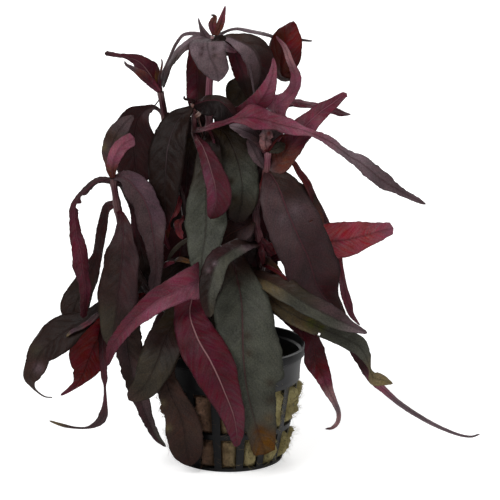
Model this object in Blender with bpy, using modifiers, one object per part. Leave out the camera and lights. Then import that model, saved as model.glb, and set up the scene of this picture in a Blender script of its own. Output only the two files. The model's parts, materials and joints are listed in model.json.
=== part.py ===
# Potted sessile joyweed: a net pot, its rock wool, the stems that stand in it and their leaves.
# Metres, +Z up, the origin in the middle of the pot's base. The front looks along +Y.
import math

import bmesh
import bpy
from mathutils import Vector

MM = 0.001

# Pot, millimetres: heights and outer radii from the base up
POT_PROFILE = [
    (17.9, 0.0), (18.9, 1.0), (19.3, 2.5), (21.2, 10.8), (21.7, 12.8), (24.0, 26.3),
    (24.6, 27.0), (25.0, 34.0), (25.8, 37.8), (26.6, 38.4), (27.5, 41.5),
]
POT_WALL = 1.2
POT_COLUMNS = 48
WINDOW_BANDS = ((2.5, 10.8), (12.8, 26.3))
COLUMNS_PER_RIB = 3
RIB_COLUMN = 1

# Rock wool, millimetres
WOOL_GAP = 0.8
WOOL_TOP = 33.0
WOOL_COLUMNS = 24

# The view that the plant's routes are laid out in, from the front and a little above
VIEW_TILT = math.radians(13.6)
VIEW_RANGE = 1100.0
VIEW_MIDDLE = (7.35, 72.8)

# Leaves, millimetres
LEAF_THICKNESS = 0.6
LEAF_STEP = 7.0
STEM_GAP = 0.7
CURVE_SAMPLES = 12

DARK = (0.045, 0.026, 0.030)
OLIVE = (0.055, 0.042, 0.028)
GREEN = (0.070, 0.082, 0.068)
GREY = (0.105, 0.090, 0.095)
MAUVE = (0.130, 0.055, 0.090)
MAGENTA = (0.150, 0.022, 0.055)
CRIMSON = (0.150, 0.018, 0.024)
ROSE = (0.290, 0.055, 0.075)
TAN = (0.110, 0.090, 0.050)
STEM = (0.230, 0.090, 0.100)


def spot(across, rise, depth):
    """Point that is seen at (across, rise) on the front view and lies depth behind the pot's axis."""
    sin_tilt = math.sin(VIEW_TILT)
    cos_tilt = math.cos(VIEW_TILT)
    off = rise - VIEW_MIDDLE[1]
    height = (rise + off * depth * cos_tilt / VIEW_RANGE - depth * sin_tilt) / (
        cos_tilt + off * sin_tilt / VIEW_RANGE)
    scale = 1 + (depth * cos_tilt - height * sin_tilt) / VIEW_RANGE
    return Vector((VIEW_MIDDLE[0] + (across - VIEW_MIDDLE[0]) * scale, depth, height))


def smooth(points, per_span=CURVE_SAMPLES):
    """Points along a smooth curve through the given ones."""
    knots = [points[0] * 2 - points[1]] + points + [points[-1] * 2 - points[-2]]
    curve = []
    for first, start, end, last in zip(knots, knots[1:], knots[2:], knots[3:]):
        for step in range(per_span):
            t = step / per_span
            curve.append(0.5 * (
                2 * start + (end - first) * t
                + (2 * first - 5 * start + 4 * end - last) * t * t
                + (3 * start - first - 3 * end + last) * t * t * t))
    return curve + [points[-1]]


def evenly(curve, count):
    """Points at equal distances along a curve, first and last included."""
    lengths = [0.0]
    for start, end in zip(curve, curve[1:]):
        lengths.append(lengths[-1] + (end - start).length)
    found = []
    index = 0
    for step in range(count + 1):
        wanted = lengths[-1] * step / count
        while index < len(lengths) - 2 and lengths[index + 1] < wanted:
            index += 1
        part = (wanted - lengths[index]) / (lengths[index + 1] - lengths[index])
        found.append(curve[index].lerp(curve[index + 1], part))
    return found


def mix(values, place):
    """Value at place, from 0 to 1, in a list of values that stand at equal distances."""
    at = place * (len(values) - 1)
    index = min(int(at), len(values) - 2)
    part = at - index
    part = part * part * (3 - 2 * part)
    return values[index] + (values[index + 1] - values[index]) * part


def coloured(name, colour, roughness):
    material = bpy.data.materials.get(name) or bpy.data.materials.new(name)
    material.use_nodes = True
    shader = material.node_tree.nodes["Principled BSDF"]
    shader.inputs["Base Color"].default_value = (*colour, 1)
    shader.inputs["Roughness"].default_value = roughness
    shader.inputs["Metallic"].default_value = 0
    material.diffuse_color = (*colour, 1)
    return material


def new_object(name, mesh, colour, roughness=0.5):
    thing = bpy.data.objects.new(name, mesh)
    plant.objects.link(thing)
    mesh.materials.append(coloured(name, colour, roughness))
    return thing


def turned(profile, columns):
    """Open turned surface with a bottom face, faces out, from (radius, height) pairs, base first."""
    bm = bmesh.new()
    points = [bm.verts.new((radius * MM, 0, height * MM)) for radius, height in profile]
    edges = [bm.edges.new(pair) for pair in zip(points, points[1:])]
    bmesh.ops.spin(bm, geom=points + edges, cent=(0, 0, 0), axis=(0, 0, 1), angle=math.tau,
                   steps=columns, use_merge=True)
    bmesh.ops.remove_doubles(bm, verts=bm.verts, dist=1e-6)
    low = [edge for edge in bm.edges if edge.is_boundary and edge.verts[0].co.z < profile[0][1] * MM + 1e-6]
    bmesh.ops.contextual_create(bm, geom=low)
    bmesh.ops.recalc_face_normals(bm, faces=bm.faces)
    bottom = min(bm.faces, key=lambda face: face.calc_center_median().z)
    if bottom.normal.z > 0:
        bmesh.ops.reverse_faces(bm, faces=bm.faces)
    return bm


def make_pot():
    bm = turned(POT_PROFILE, POT_COLUMNS)
    windows = []
    for face in bm.faces:
        middle = face.calc_center_median()
        turn = (math.atan2(middle.y, middle.x) + math.tau / 4) % math.tau
        column = int(turn / math.tau * POT_COLUMNS)
        height = middle.z / MM
        in_band = any(low < height < high for low, high in WINDOW_BANDS)
        if in_band and column % COLUMNS_PER_RIB != RIB_COLUMN:
            windows.append(face)
    bmesh.ops.delete(bm, geom=windows, context="FACES")
    mesh = bpy.data.meshes.new("pot")
    bm.to_mesh(mesh)
    bm.free()
    pot = new_object("pot", mesh, (0.012, 0.012, 0.014), 0.35)
    wall = pot.modifiers.new("Wall", "SOLIDIFY")
    wall.thickness = POT_WALL * MM
    wall.offset = -1
    wall.use_even_offset = True


def make_wool():
    inset = POT_WALL + WOOL_GAP
    rings = [(radius - inset, height) for radius, height in POT_PROFILE if inset + 0.5 < height < WOOL_TOP]
    profile = [(rings[0][0] - 1.5, inset)] + rings[1:] + [(rings[-1][0], WOOL_TOP - 1.5)]
    profile.append((rings[-1][0] - 2.5, WOOL_TOP))
    bm = turned(profile, WOOL_COLUMNS)
    top = [edge for edge in bm.edges if edge.is_boundary]
    bmesh.ops.contextual_create(bm, geom=top)
    bmesh.ops.recalc_face_normals(bm, faces=bm.faces)
    mesh = bpy.data.meshes.new("rock_wool")
    bm.to_mesh(mesh)
    bm.free()
    new_object("rock_wool", mesh, (0.30, 0.25, 0.09), 0.9)


def make_tube(name, route, thick, thin, points_per_span=2):
    """Round stem that thins from thick to thin, as a mesh, and the curve through its middle."""
    curve = smooth([spot(*point) for point in route])
    centres = evenly(curve, max(4, (len(route) - 1) * points_per_span))
    data = bpy.data.curves.new(name, "CURVE")
    data.dimensions = "3D"
    data.bevel_depth = MM
    data.bevel_resolution = 2
    data.use_fill_caps = True
    line = data.splines.new("POLY")
    line.points.add(len(centres) - 1)
    for index, centre in enumerate(centres):
        line.points[index].co = (*(centre * MM), 1)
        line.points[index].radius = thick + (thin - thick) * index / (len(centres) - 1)
    shape = bpy.data.objects.new(name + "_curve", data)
    plant.objects.link(shape)
    ready = shape.evaluated_get(bpy.context.evaluated_depsgraph_get())
    mesh = bpy.data.meshes.new_from_object(ready)
    bpy.data.objects.remove(shape)
    bm = bmesh.new()
    bm.from_mesh(mesh)
    bmesh.ops.remove_doubles(bm, verts=bm.verts, dist=1e-6)
    bmesh.ops.recalc_face_normals(bm, faces=bm.faces)
    bm.to_mesh(mesh)
    bm.free()
    return mesh, curve


def frames(centres, turns):
    """Side and face directions along a leaf. The face looks at the viewer, then outwards or up as it turns."""
    count = len(centres) - 1
    tangents = []
    for index in range(count + 1):
        tangents.append((centres[min(index + 1, count)] - centres[max(index - 1, 0)]).normalized())
    middle = count // 2
    viewer = Vector((0, -math.cos(VIEW_TILT), math.sin(VIEW_TILT)))
    along = tangents[middle]
    face = (viewer - along * viewer.dot(along)).normalized()
    side = along.cross(face).normalized()
    if abs(along.x) > abs(along.z):
        outwards = side.z > 0
    else:
        outwards = (side.x > 0) == (centres[middle].x > 0)
    if not outwards:
        side = -side
    pairs = [None] * (count + 1)
    for indices in (range(middle, count + 1), range(middle, -1, -1)):
        face_now, side_now, last = face, side, along
        for index in indices:
            swing = last.rotation_difference(tangents[index])
            face_now = swing @ face_now
            side_now = swing @ side_now
            last = tangents[index]
            turn = math.radians(mix(turns, index / count))
            pairs[index] = (side_now * math.cos(turn) - face_now * math.sin(turn),
                            face_now * math.cos(turn) + side_now * math.sin(turn))
    return pairs


def leaf_mesh(name, points, widths, turn, fold):
    """Thin leaf along a route, as wide as the front view shows it, folded a little along its midrib."""
    curve = smooth(points)
    length = sum((end - start).length for start, end in zip(curve, curve[1:]))
    count = max(6, min(14, round(length / LEAF_STEP)))
    centres = evenly(curve, count)
    turns = turn if isinstance(turn, (list, tuple)) else (turn, turn)
    pairs = frames(centres, turns)
    slope = math.radians(fold)
    bm = bmesh.new()
    bmesh.ops.create_grid(bm, x_segments=count, y_segments=2, size=1)
    for vert in bm.verts:
        place = (vert.co.x + 1) / 2
        index = round(place * count)
        side, face = pairs[index]
        shown = max(0.3, abs(math.cos(math.radians(mix(turns, place)))))
        half = mix(widths, place) / 2 / shown / math.cos(slope)
        reach = vert.co.y * half
        vert.co = (centres[index] + side * reach * math.cos(slope)
                   + face * (abs(reach) - half * 0.5) * math.sin(slope)) * MM
    mesh = bpy.data.meshes.new(name)
    bm.to_mesh(mesh)
    bm.free()
    return mesh


def thicken(thing):
    blade = thing.modifiers.new("Thickness", "SOLIDIFY")
    blade.thickness = LEAF_THICKNESS * MM
    blade.offset = 0


def base_point(stem, radius, route, gap):
    """Where a leaf leaves its stem, just clear of its skin, on the side that the leaf goes to."""
    start, towards = spot(*route[0]), spot(*route[1])
    index = min(range(len(stem)), key=lambda i: (stem[i] - start).length)
    along = (stem[min(index + 1, len(stem) - 1)] - stem[max(index - 1, 0)]).normalized()
    out = towards - stem[index]
    out = (out - along * out.dot(along)).normalized()
    return stem[index] + out * (radius + gap)


def fused_leaf(owner, stem, route, widths, turn=0, fold=12):
    """Small leaf that is one with its stem's tip."""
    points = [stem_at(stem, route[0])] + [spot(*point) for point in route[1:]]
    mesh = leaf_mesh(owner.name + "_small_leaf", points, widths, turn, fold)
    thing = bpy.data.objects.new(mesh.name, mesh)
    guides.objects.link(thing)
    thicken(thing)
    join(owner, thing)


def stem_at(stem, point):
    start = spot(*point)
    return min(stem, key=lambda place: (place - start).length)


def join(owner, thing):
    thing.hide_render = True
    thing.display_type = "WIRE"
    union = owner.modifiers.new("Join " + thing.name, "BOOLEAN")
    union.operation = "UNION"
    union.solver = "EXACT"
    union.object = thing


def make_stem(name, thick, thin, route):
    mesh, curve = make_tube(name, route, thick, thin)
    thing = new_object(name, mesh, STEM, 0.45)
    stems[name] = (curve, (thick + thin) / 2)
    return thing, curve


def make_leaf(name, stem, colour, route, widths, turn=0, fold=12):
    curve, radius = stems[stem]
    points = [base_point(curve, radius, route, STEM_GAP)] + [spot(*point) for point in route[1:]]
    thing = new_object(name, leaf_mesh(name, points, widths, turn, fold), colour, 0.45)
    thicken(thing)


def make_centre_stem():
    stem, curve = make_stem("stem_centre", 1.35, 1.15, [
        (-2, 36, 2), (-4, 52, 1), (-5, 70, 0), (-7, 100, 0), (-7, 118, 0), (-7, 130, 0), (-6, 141, 0), (-5, 148, 0)])
    side, side_curve = make_tube("side_shoot", [
        (-7.2, 101, 0), (-9.5, 106, -0.6), (-12, 113, -1), (-12.3, 119, -1), (-12.5, 124.5, -1)], 0.9, 0.8)
    shoot = bpy.data.objects.new("side_shoot", side)
    guides.objects.link(shoot)
    join(stem, shoot)
    stems["side_shoot"] = (side_curve, 0.85)
    fused_leaf(stem, curve, [(-5, 148, 0), (-3, 152.5, -0.6), (-1.3, 158, -1)], [1.6, 2.6, 2.3, 0.8], 10)
    fused_leaf(stem, curve, [(-5, 148, 0), (-6.3, 152.5, 0.6), (-5.2, 155.2, 0.8), (-6.5, 155.9, 0.8)],
               [1.6, 2.6, 1.6, 0.6], 20)
    fused_leaf(stem, curve, [(-6, 145, 0), (-8.6, 148, 0.6), (-10.3, 152.3, 1.2), (-10.9, 154.7, 1.5)],
               [1.6, 3.0, 1.8, 0.6], 15)
    fused_leaf(stem, curve, [
        (-5.2, 147, 0), (-9, 148.7, 3), (-12.5, 149.3, 5), (-16, 148.7, 6.5), (-18.5, 146, 7.5), (-20.5, 141.5, 8.5),
        (-22, 137, 9), (-23.3, 130, 9)], [1.2, 2, 2.4, 2.2, 2, 2, 1.6, 0.8], 40)


def make_upper_left_stem():
    stem, curve = make_stem("stem_upper_left", 1.15, 0.9, [
        (-6, 37, 6), (-10, 55, 7), (-12, 70, 7), (-16, 88, 6), (-19, 100, 5), (-22.8, 119.5, 3), (-24.2, 128.5, 2)])
    fused_leaf(stem, curve, [(-24.2, 128.3, 2), (-28, 132.3, -0.5), (-32, 135.8, -2.5), (-36.8, 139.2, -4)],
               [1.4, 2.6, 1.8, 0.7], 30)
    fused_leaf(stem, curve, [(-24.2, 128.3, 2), (-24.5, 132, 0), (-24.2, 136.5, -0.5), (-23.7, 140, 0)],
               [1.4, 1.8, 1.4, 0.6], 0)


def make_right_stem():
    stem, curve = make_stem("stem_right", 1.2, 1.0, [
        (3, 35, -5), (6, 50, -6), (11.5, 67, -6), (11, 75, -6), (9.5, 83, -7), (10, 90, -8), (13, 100, -10),
        (13.7, 107.5, -12)])
    fused_leaf(stem, curve, [(13.7, 107, -12), (10, 111, -12.5), (5, 114.8, -11.5), (-0.5, 117, -10)],
               [1.8, 3.6, 4.2, 0.8], 20)
    fused_leaf(stem, curve, [(12.8, 101, -10), (9.8, 107, -11.5), (7.2, 111.5, -12)], [1.6, 3.2, 2.6, 0.8], 10)
    fused_leaf(stem, curve, [(13.7, 107, -12), (14, 111.5, -13.5), (11.5, 116, -13.5)], [1.6, 4.5, 4.5, 1.5], 20)
    fused_leaf(stem, curve, [(13.7, 106, -12), (16.5, 109.5, -13), (20, 112.5, -13)], [1.6, 4.5, 4, 1.2], 20)


def make_stems():
    make_centre_stem()
    make_upper_left_stem()
    make_right_stem()
    make_stem("stem_left", 1.05, 0.85, [
        (-9, 35, -3), (-17, 47, -2.5), (-28, 58, -4), (-36, 72, -6), (-39, 86, -6), (-39.7, 90, -6), (-41, 98, -6)])
    make_stem("stem_upper_right", 1.15, 0.9, [
        (6, 37, 7), (8, 52, 8), (10, 70, 8), (15, 95, 8), (18, 112, 6), (19, 121, 5), (20.5, 127.5, 5)])
    make_stem("stem_back", 1.15, 0.9, [(-3, 38, 11), (-7, 60, 16), (-9, 80, 20), (-8, 98, 23), (-7, 112, 24)])


def make_crown_leaves():
    make_leaf("leaf_crown_front", "stem_centre", GREY, [
        (-5.5, 147.5, -1.6), (-6.5, 147.2, -4), (-7.3, 146.2, -7.5), (-7, 143.5, -10), (-6, 139.5, -11.5),
        (-4.8, 135.5, -12), (-3.8, 132, -11.5)], [2, 7, 12, 13, 12, 8.5, 2], 0, 6)
    make_leaf("leaf_crown_arch_inner", "stem_centre", GREY, [
        (-6.2, 145, -1), (-10, 146.4, -2.5), (-14, 146, -2), (-17.5, 144, 0), (-21, 139, 3.5), (-23.3, 131, 5.5)],
        [1.2, 2, 2.6, 2.8, 2.5, 1.8, 0.8], 40)
    make_leaf("leaf_crown_hanging", "stem_centre", CRIMSON, [
        (-6.2, 143, 1.6), (-8.5, 145.6, 4), (-10.8, 144, 6), (-11.5, 139, 8), (-11.6, 133, 8.5), (-11.6, 127, 8),
        (-12, 119, 6)], [1.4, 3.5, 6, 6.4, 6.4, 5.5, 1.2], 160, 22)
    make_leaf("leaf_crown_thin", "stem_centre", GREY, [
        (-3.8, 147.2, 1), (0, 150.4, 2.5), (6, 150, 3.5), (12, 148.8, 3), (18, 147.5, 2), (24, 146.9, 1),
        (29.4, 146.5, 0)], [1.2, 1.5, 1.6, 1.5, 1.5, 1.4, 0.6], 50)
    make_leaf("leaf_crown_grey", "stem_centre", GREEN, [
        (-3.7, 145.5, -1.5), (0, 147.3, -4.5), (4, 147, -7.5), (8, 144.5, -10), (11, 140, -11.5), (11.5, 134, -9.5),
        (10.2, 129, -7)], [1.6, 4, 7, 9.5, 9.5, 8, 1.5], 15)
    make_leaf("leaf_crown_dark", "stem_centre", CRIMSON, [
        (-3.6, 142.5, 0.6), (0.5, 145, 1), (3, 140, 0), (5.5, 133, -2), (7, 126, -3)],
        [1.4, 4, 6, 5.5, 1.5], 160)
    make_leaf("leaf_crown_olive", "stem_centre", OLIVE, [
        (-3.9, 140, 2.2), (0.5, 143, 6), (5.5, 141, 9), (8.2, 135.5, 9), (5, 130, 7), (1, 125.5, 5), (-2, 120, 4)],
        [1.4, 3.5, 7, 9, 8, 5, 1.2], 15)


def make_left_leaves():
    make_leaf("leaf_shoot_left", "stem_upper_left", CRIMSON, [
        (-25, 128.6, 3.5), (-27, 134, 5), (-29.6, 137.7, 5), (-33.5, 140, 4), (-39, 141.2, 3), (-44, 142.2, 2)],
        [1.6, 7, 6.5, 2.6, 2.2, 1.8], 150, 15)
    make_leaf("leaf_left_tip", "stem_left", MAUVE, [
        (-41.2, 98, -7), (-41.8, 103, -9.5), (-41.9, 108, -11), (-40.4, 112.8, -11), (-37.3, 117.3, -9.5),
        (-34.3, 119.8, -8)], [1.6, 5.5, 7.5, 7, 5, 1.2], 20)
    make_leaf("leaf_left_shoulder", "stem_upper_left", DARK, [
        (-23, 120, 4), (-25, 122.8, 6), (-28, 123.2, 8), (-31.2, 121.2, 9.5), (-33.4, 117.5, 10.5), (-34, 111, 11),
        (-33.6, 103, 11), (-32.4, 95, 10)], [1.2, 1.6, 5, 11, 14, 13, 9, 2], 25)
    make_leaf("leaf_left_arch", "stem_left", MAGENTA, [
        (-41.9, 96.8, -6.5), (-44, 98, -8), (-47.5, 96.3, -9.5), (-50.4, 94, -11), (-53, 91, -12.5),
        (-54.7, 86, -13.5), (-54.2, 79, -14), (-52.9, 73, -14.5), (-51.7, 66, -15.5), (-50.8, 59, -17),
        (-50.9, 53, -18.5), (-51.4, 48.5, -18.5)], [1.4, 1.8, 2.4, 3.5, 4.5, 5, 4.5, 2.6, 0.7], 140)
    make_leaf("leaf_left_dark", "stem_left", DARK, [
        (-40.6, 89.5, -5), (-42.6, 88.3, -3), (-44.5, 81, -1), (-46.6, 71, 0), (-50.2, 61, 0), (-54, 53, -1),
        (-56.5, 44, -2)], [1.4, 3, 3.3, 4.2, 7, 8, 1.5], 30)
    make_leaf("leaf_left_front", "stem_left", DARK, [
        (-38.7, 86.5, -8), (-38.7, 84, -11.5), (-38.7, 78, -15), (-38.6, 68, -18), (-38.8, 57, -20.5),
        (-39.8, 47, -21.5), (-40.3, 36.5, -20)], [1.4, 4, 9.5, 12.5, 13, 12, 8, 1.5], 25)
    make_leaf("leaf_left_low", "stem_left", OLIVE, [
        (-34, 65, -8), (-38, 58.5, -10), (-46, 53, -12), (-52, 48.5, -13), (-58, 44, -14), (-64, 38, -15),
        (-68.5, 31, -15), (-70.5, 26, -14), (-67, 22.4, -13), (-62.3, 21.2, -12)],
        [1.4, 8, 12, 12, 11.5, 9, 5, 1, 0.6], 25)
    make_leaf("leaf_left_grey", "stem_left", GREY, [
        (-40.3, 97.3, -6.8), (-37, 98.6, -9), (-33.3, 96.4, -11), (-30.6, 91, -13), (-29.1, 84, -14),
        (-28, 76, -15), (-27, 67, -15), (-27.3, 57.5, -13)], [1.4, 5, 9, 10.5, 11, 10, 8.5, 5.5, 1.2], 20)
    make_leaf("leaf_left_behind", "stem_left", DARK, [
        (-39.6, 93.6, -5), (-37.3, 92.8, -2), (-34.8, 87, 0), (-32.8, 78, 2), (-30.8, 69, 2), (-30, 55, 0)],
        [1.2, 3, 5, 6, 5, 1.2], 20)
    make_leaf("leaf_left_crimson", "stem_left", CRIMSON, [
        (-29, 57.5, -4.8), (-36, 53, -3.5), (-43, 47, -4), (-46.5, 42, -5), (-48.5, 36, -5), (-51.5, 29.5, -5),
        (-55, 25, -5), (-59.5, 21.4, -5)], [1.4, 6, 12, 14, 12, 8.5, 5, 1.2], 155)
    make_leaf("leaf_left_tail", "stem_left", DARK, [
        (-23, 52, -6.5), (-33, 49, -6.5), (-40.5, 47.8, -7), (-44, 44, -9), (-44.3, 36, -10.5), (-43.9, 26, -10),
        (-43.8, 20, -9), (-44.5, 14.5, -8.5), (-47.5, 11.2, -8), (-52, 10.5, -8), (-57, 10.9, -8.5),
        (-63.2, 12.6, -9)], [1.2, 2, 3, 3, 2.5, 2, 1.4, 2.6, 2.4, 1, 1.1, 0.5], 40)


def make_centre_leaves():
    make_leaf("leaf_centre_olive", "side_shoot", OLIVE, [
        (-13.4, 123.5, -1.5), (-17.5, 119.3, -4), (-20.5, 113.5, -7), (-22, 107, -9), (-22.5, 97, -11),
        (-22.3, 88, -12), (-22.3, 79, -11)], [1.4, 8, 11.5, 12, 11, 8, 1.5], 20)
    make_leaf("leaf_centre_dark", "stem_centre", DARK, [
        (-8.3, 116.5, 1.2), (-11.5, 114, 5), (-14, 108, 8), (-15, 98, 10), (-16, 88, 10.5), (-16.5, 78, 9)],
        [1.4, 6, 9, 9, 6, 1.2], 15)
    make_leaf("leaf_centre_green", "stem_centre", GREEN, [
        (-6.2, 114.5, -1.6), (-6.8, 111, -7), (-7.5, 105, -10), (-8.3, 98, -12.5), (-8.9, 88, -15.5), (-9.2, 78, -18),
        (-9.5, 69, -22), (-10, 61, -26)], [1.6, 6.5, 12, 14, 13.8, 12, 7, 1.5], 8)
    make_leaf("leaf_centre_magenta", "side_shoot", MAGENTA, [
        (-11.6, 111.5, -2), (-10.9, 111.5, -8), (-9.3, 109, -12.5), (-7.5, 105, -16), (-5.9, 100, -18.5), (-4.5, 95, -20),
        (-4.3, 90, -21), (-5.3, 86, -21), (-6.4, 83.8, -20.5)], [1.8, 3, 4.5, 6, 7.5, 8, 6.5, 1.8], 175)
    make_leaf("leaf_side_arched", "side_shoot", DARK, [
        (-11.3, 123.8, -2), (-8, 123.6, -5), (-4, 123, -7.5), (-0.5, 121.2, -9), (2, 119.4, -9.5)],
        [1.4, 6.5, 7.2, 5, 1.2], 15)
    make_leaf("leaf_centre_grey", "stem_centre", GREEN, [
        (-5.6, 116.5, 0), (-1.6, 114.2, -1.5), (1.4, 108, -5), (3.6, 101, -8), (4.9, 93, -11), (4.6, 82.5, -12)],
        [1.6, 9, 10.5, 10.5, 8.5, 2.5], 10)
    make_leaf("leaf_centre_brown", "stem_right", DARK, [
        (8.4, 83, -8.3), (5, 80.9, -9.3), (0, 78.3, -10), (-4, 74.8, -10.5)], [1.4, 7.5, 7.5, 2], 20)
    make_leaf("leaf_centre_curl", "stem_right", GREY, [
        (9.8, 73.8, -8), (6, 74.2, -15.5), (1, 72.3, -22.5), (-3.5, 68, -27), (-6.2, 62, -31), (-6.8, 55, -33),
        (-6, 49.5, -35)], [1.4, 4, 5.5, 6, 5.5, 4.5, 1.2], 25)


def make_upper_right_leaves():
    make_leaf("leaf_right_long", "side_shoot", MAUVE, [
        (-11.1, 116, -2.5), (-6, 116.3, -13.5), (0, 118.2, -17), (5, 119.2, -17.5), (10, 118.8, -18), (20, 116.7, -18),
        (30, 113.7, -18), (38, 109.5, -17.5), (46, 104, -17), (53, 98.5, -16), (60, 94, -15), (69.3, 89, -13)],
        [1.6, 1.8, 4.5, 5, 3.5, 2.4, 2.2, 3.5, 5, 6, 4, 2.2, 0.7], (30, 50, 45, 20, 15), 15)
    make_leaf("leaf_magenta_up", "stem_centre", MAGENTA, [
        (-5.6, 121.5, 0.8), (0, 121.8, -2), (6, 123.1, -7), (10.8, 126.2, -12), (14, 130.6, -17), (15.7, 136, -20),
        (15.5, 141.5, -20)], [1.4, 4, 5.5, 5.8, 5, 3.5, 0.8], 150)
    make_leaf("leaf_pink_arch", "stem_upper_right", MAUVE, [
        (18.3, 118, 3.8), (18.2, 121.5, 1), (19.8, 126, -2), (23, 130.5, -5), (24, 135, -7), (22.5, 139.8, -8),
        (20, 144.5, -8), (17.5, 148.3, -7)], [1.8, 8.5, 7, 4.3, 3.7, 2.8, 1.6, 0.7], 155)
    make_leaf("leaf_crimson_top", "stem_upper_right", CRIMSON, [
        (19.8, 126.5, 6), (20, 130, 9), (19.1, 134, 9), (19.2, 139, 8), (20, 144, 7), (21.4, 149, 7), (22.7, 153.2, 8)],
        [1.4, 4, 11, 11.5, 10.5, 6.5, 1.5], 170, 40)
    make_leaf("leaf_right_mauve", "stem_right", MAUVE, [
        (14.3, 101.5, -10), (17.5, 103.5, -11), (20.3, 107.5, -11), (23, 112, -11), (27, 117, -11), (32, 121, -10),
        (37, 125, -9), (41.5, 128.2, -8)], [1.4, 7.5, 9.5, 7.5, 5, 3.7, 2.6, 0.8], 160)
    make_leaf("leaf_right_thin", "stem_upper_right", GREY, [
        (20.1, 122.5, 5), (25, 124, 4), (30, 123.5, 3), (36, 122, 2), (42.6, 120.5, 1)],
        [1.2, 2.2, 2.3, 1.8, 0.6], 45)


def make_right_leaves():
    make_leaf("leaf_right_front", "stem_right", DARK, [
        (13.9, 98, -11.5), (15.2, 97.3, -13.5), (17.6, 92.5, -16), (20.5, 86, -18), (24, 78, -17), (27.5, 69, -15.5),
        (31, 60.5, -13), (34.5, 53, -12)], [4, 15, 17, 17, 17, 17, 15.5, 10.5, 2], 15)
    make_leaf("leaf_right_edge", "stem_upper_right", CRIMSON, [
        (17.6, 103, 7), (22.3, 104, 6), (26, 99, 4), (29.5, 93, 2), (32.5, 87.5, 1), (35.3, 82.3, 1), (38, 75, 2),
        (39.8, 66, 3), (41.7, 58, 3), (43.8, 51, 2), (46, 46.3, 1)],
        [1.2, 2.6, 3, 2.8, 2.5, 2.6, 3, 3, 2.4, 0.6], 50)
    make_leaf("leaf_right_behind", "stem_upper_right", OLIVE, [
        (15.8, 92.5, 9), (20.5, 94, 11), (25, 91.5, 12), (28.8, 85.5, 12.5), (30.8, 79, 12), (31, 69, 11)],
        [1.4, 6.5, 8.5, 8.5, 5.5, 1.2], 25)
    make_leaf("leaf_right_rose", "stem_upper_right", ROSE, [
        (11.6, 71.5, 9), (19, 74, 13), (28, 75, 15), (35, 76, 15), (42, 77, 14), (50, 78.7, 12.5), (57.3, 80.7, 11)],
        [1.4, 7, 11, 12.3, 12.3, 10.5, 3.2], 165)
    make_leaf("leaf_right_whip", "stem_upper_right", MAUVE, [
        (11, 67.5, 7), (19, 70.5, 3), (28, 67, -1), (34, 59, -3), (39.5, 50.5, -4), (44.5, 36.5, -5),
        (49, 29.5, -5), (54.5, 23, -5), (60, 18.5, -5), (66, 14, -5), (73, 10.5, -5), (80, 8, -5), (85, 7, -5),
        (88.3, 7.9, -5)], [1.4, 4, 6, 4.5, 3.2, 3, 2.6, 2.3, 2, 1.6, 1.2, 0.8, 0.5], (30, 50, 50, 40))
    make_leaf("leaf_olive_upper", "stem_centre", OLIVE, [
        (-3.8, 69.3, -1), (3, 67, -5), (10, 63.5, -11), (18, 59.5, -20), (26, 55, -25.5), (34, 50.8, -27),
        (42, 46.5, -27), (48.6, 43.5, -26)], [1.4, 4, 6, 6.8, 6.5, 6, 4.5, 1], 30)
    make_leaf("leaf_olive_lower", "stem_right", TAN, [
        (9, 57, -7), (12, 57.5, -10), (20, 52, -15), (28, 47.7, -18.5), (36, 43.5, -20.5), (43, 41, -21),
        (47.5, 36.5, -21), (49.6, 30.5, -21), (52.5, 27.5, -21), (57.5, 25.7, -20)],
        [1.4, 5.5, 6, 6, 5.5, 3.5, 3, 3.6, 0.8], 30)
    make_leaf("leaf_pot_crimson", "stem_right", CRIMSON, [
        (6.6, 44, -6), (11.5, 46, -10), (18.5, 48.8, -12), (25, 45.3, -13), (29, 40, -13), (32, 34, -13),
        (34.8, 27, -13), (37.3, 20, -12), (38.8, 14.5, -11), (37.5, 11, -10), (34, 10, -9)],
        [1.4, 5, 7, 7, 6.5, 6, 5, 4.5, 3, 1], 25)


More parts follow.
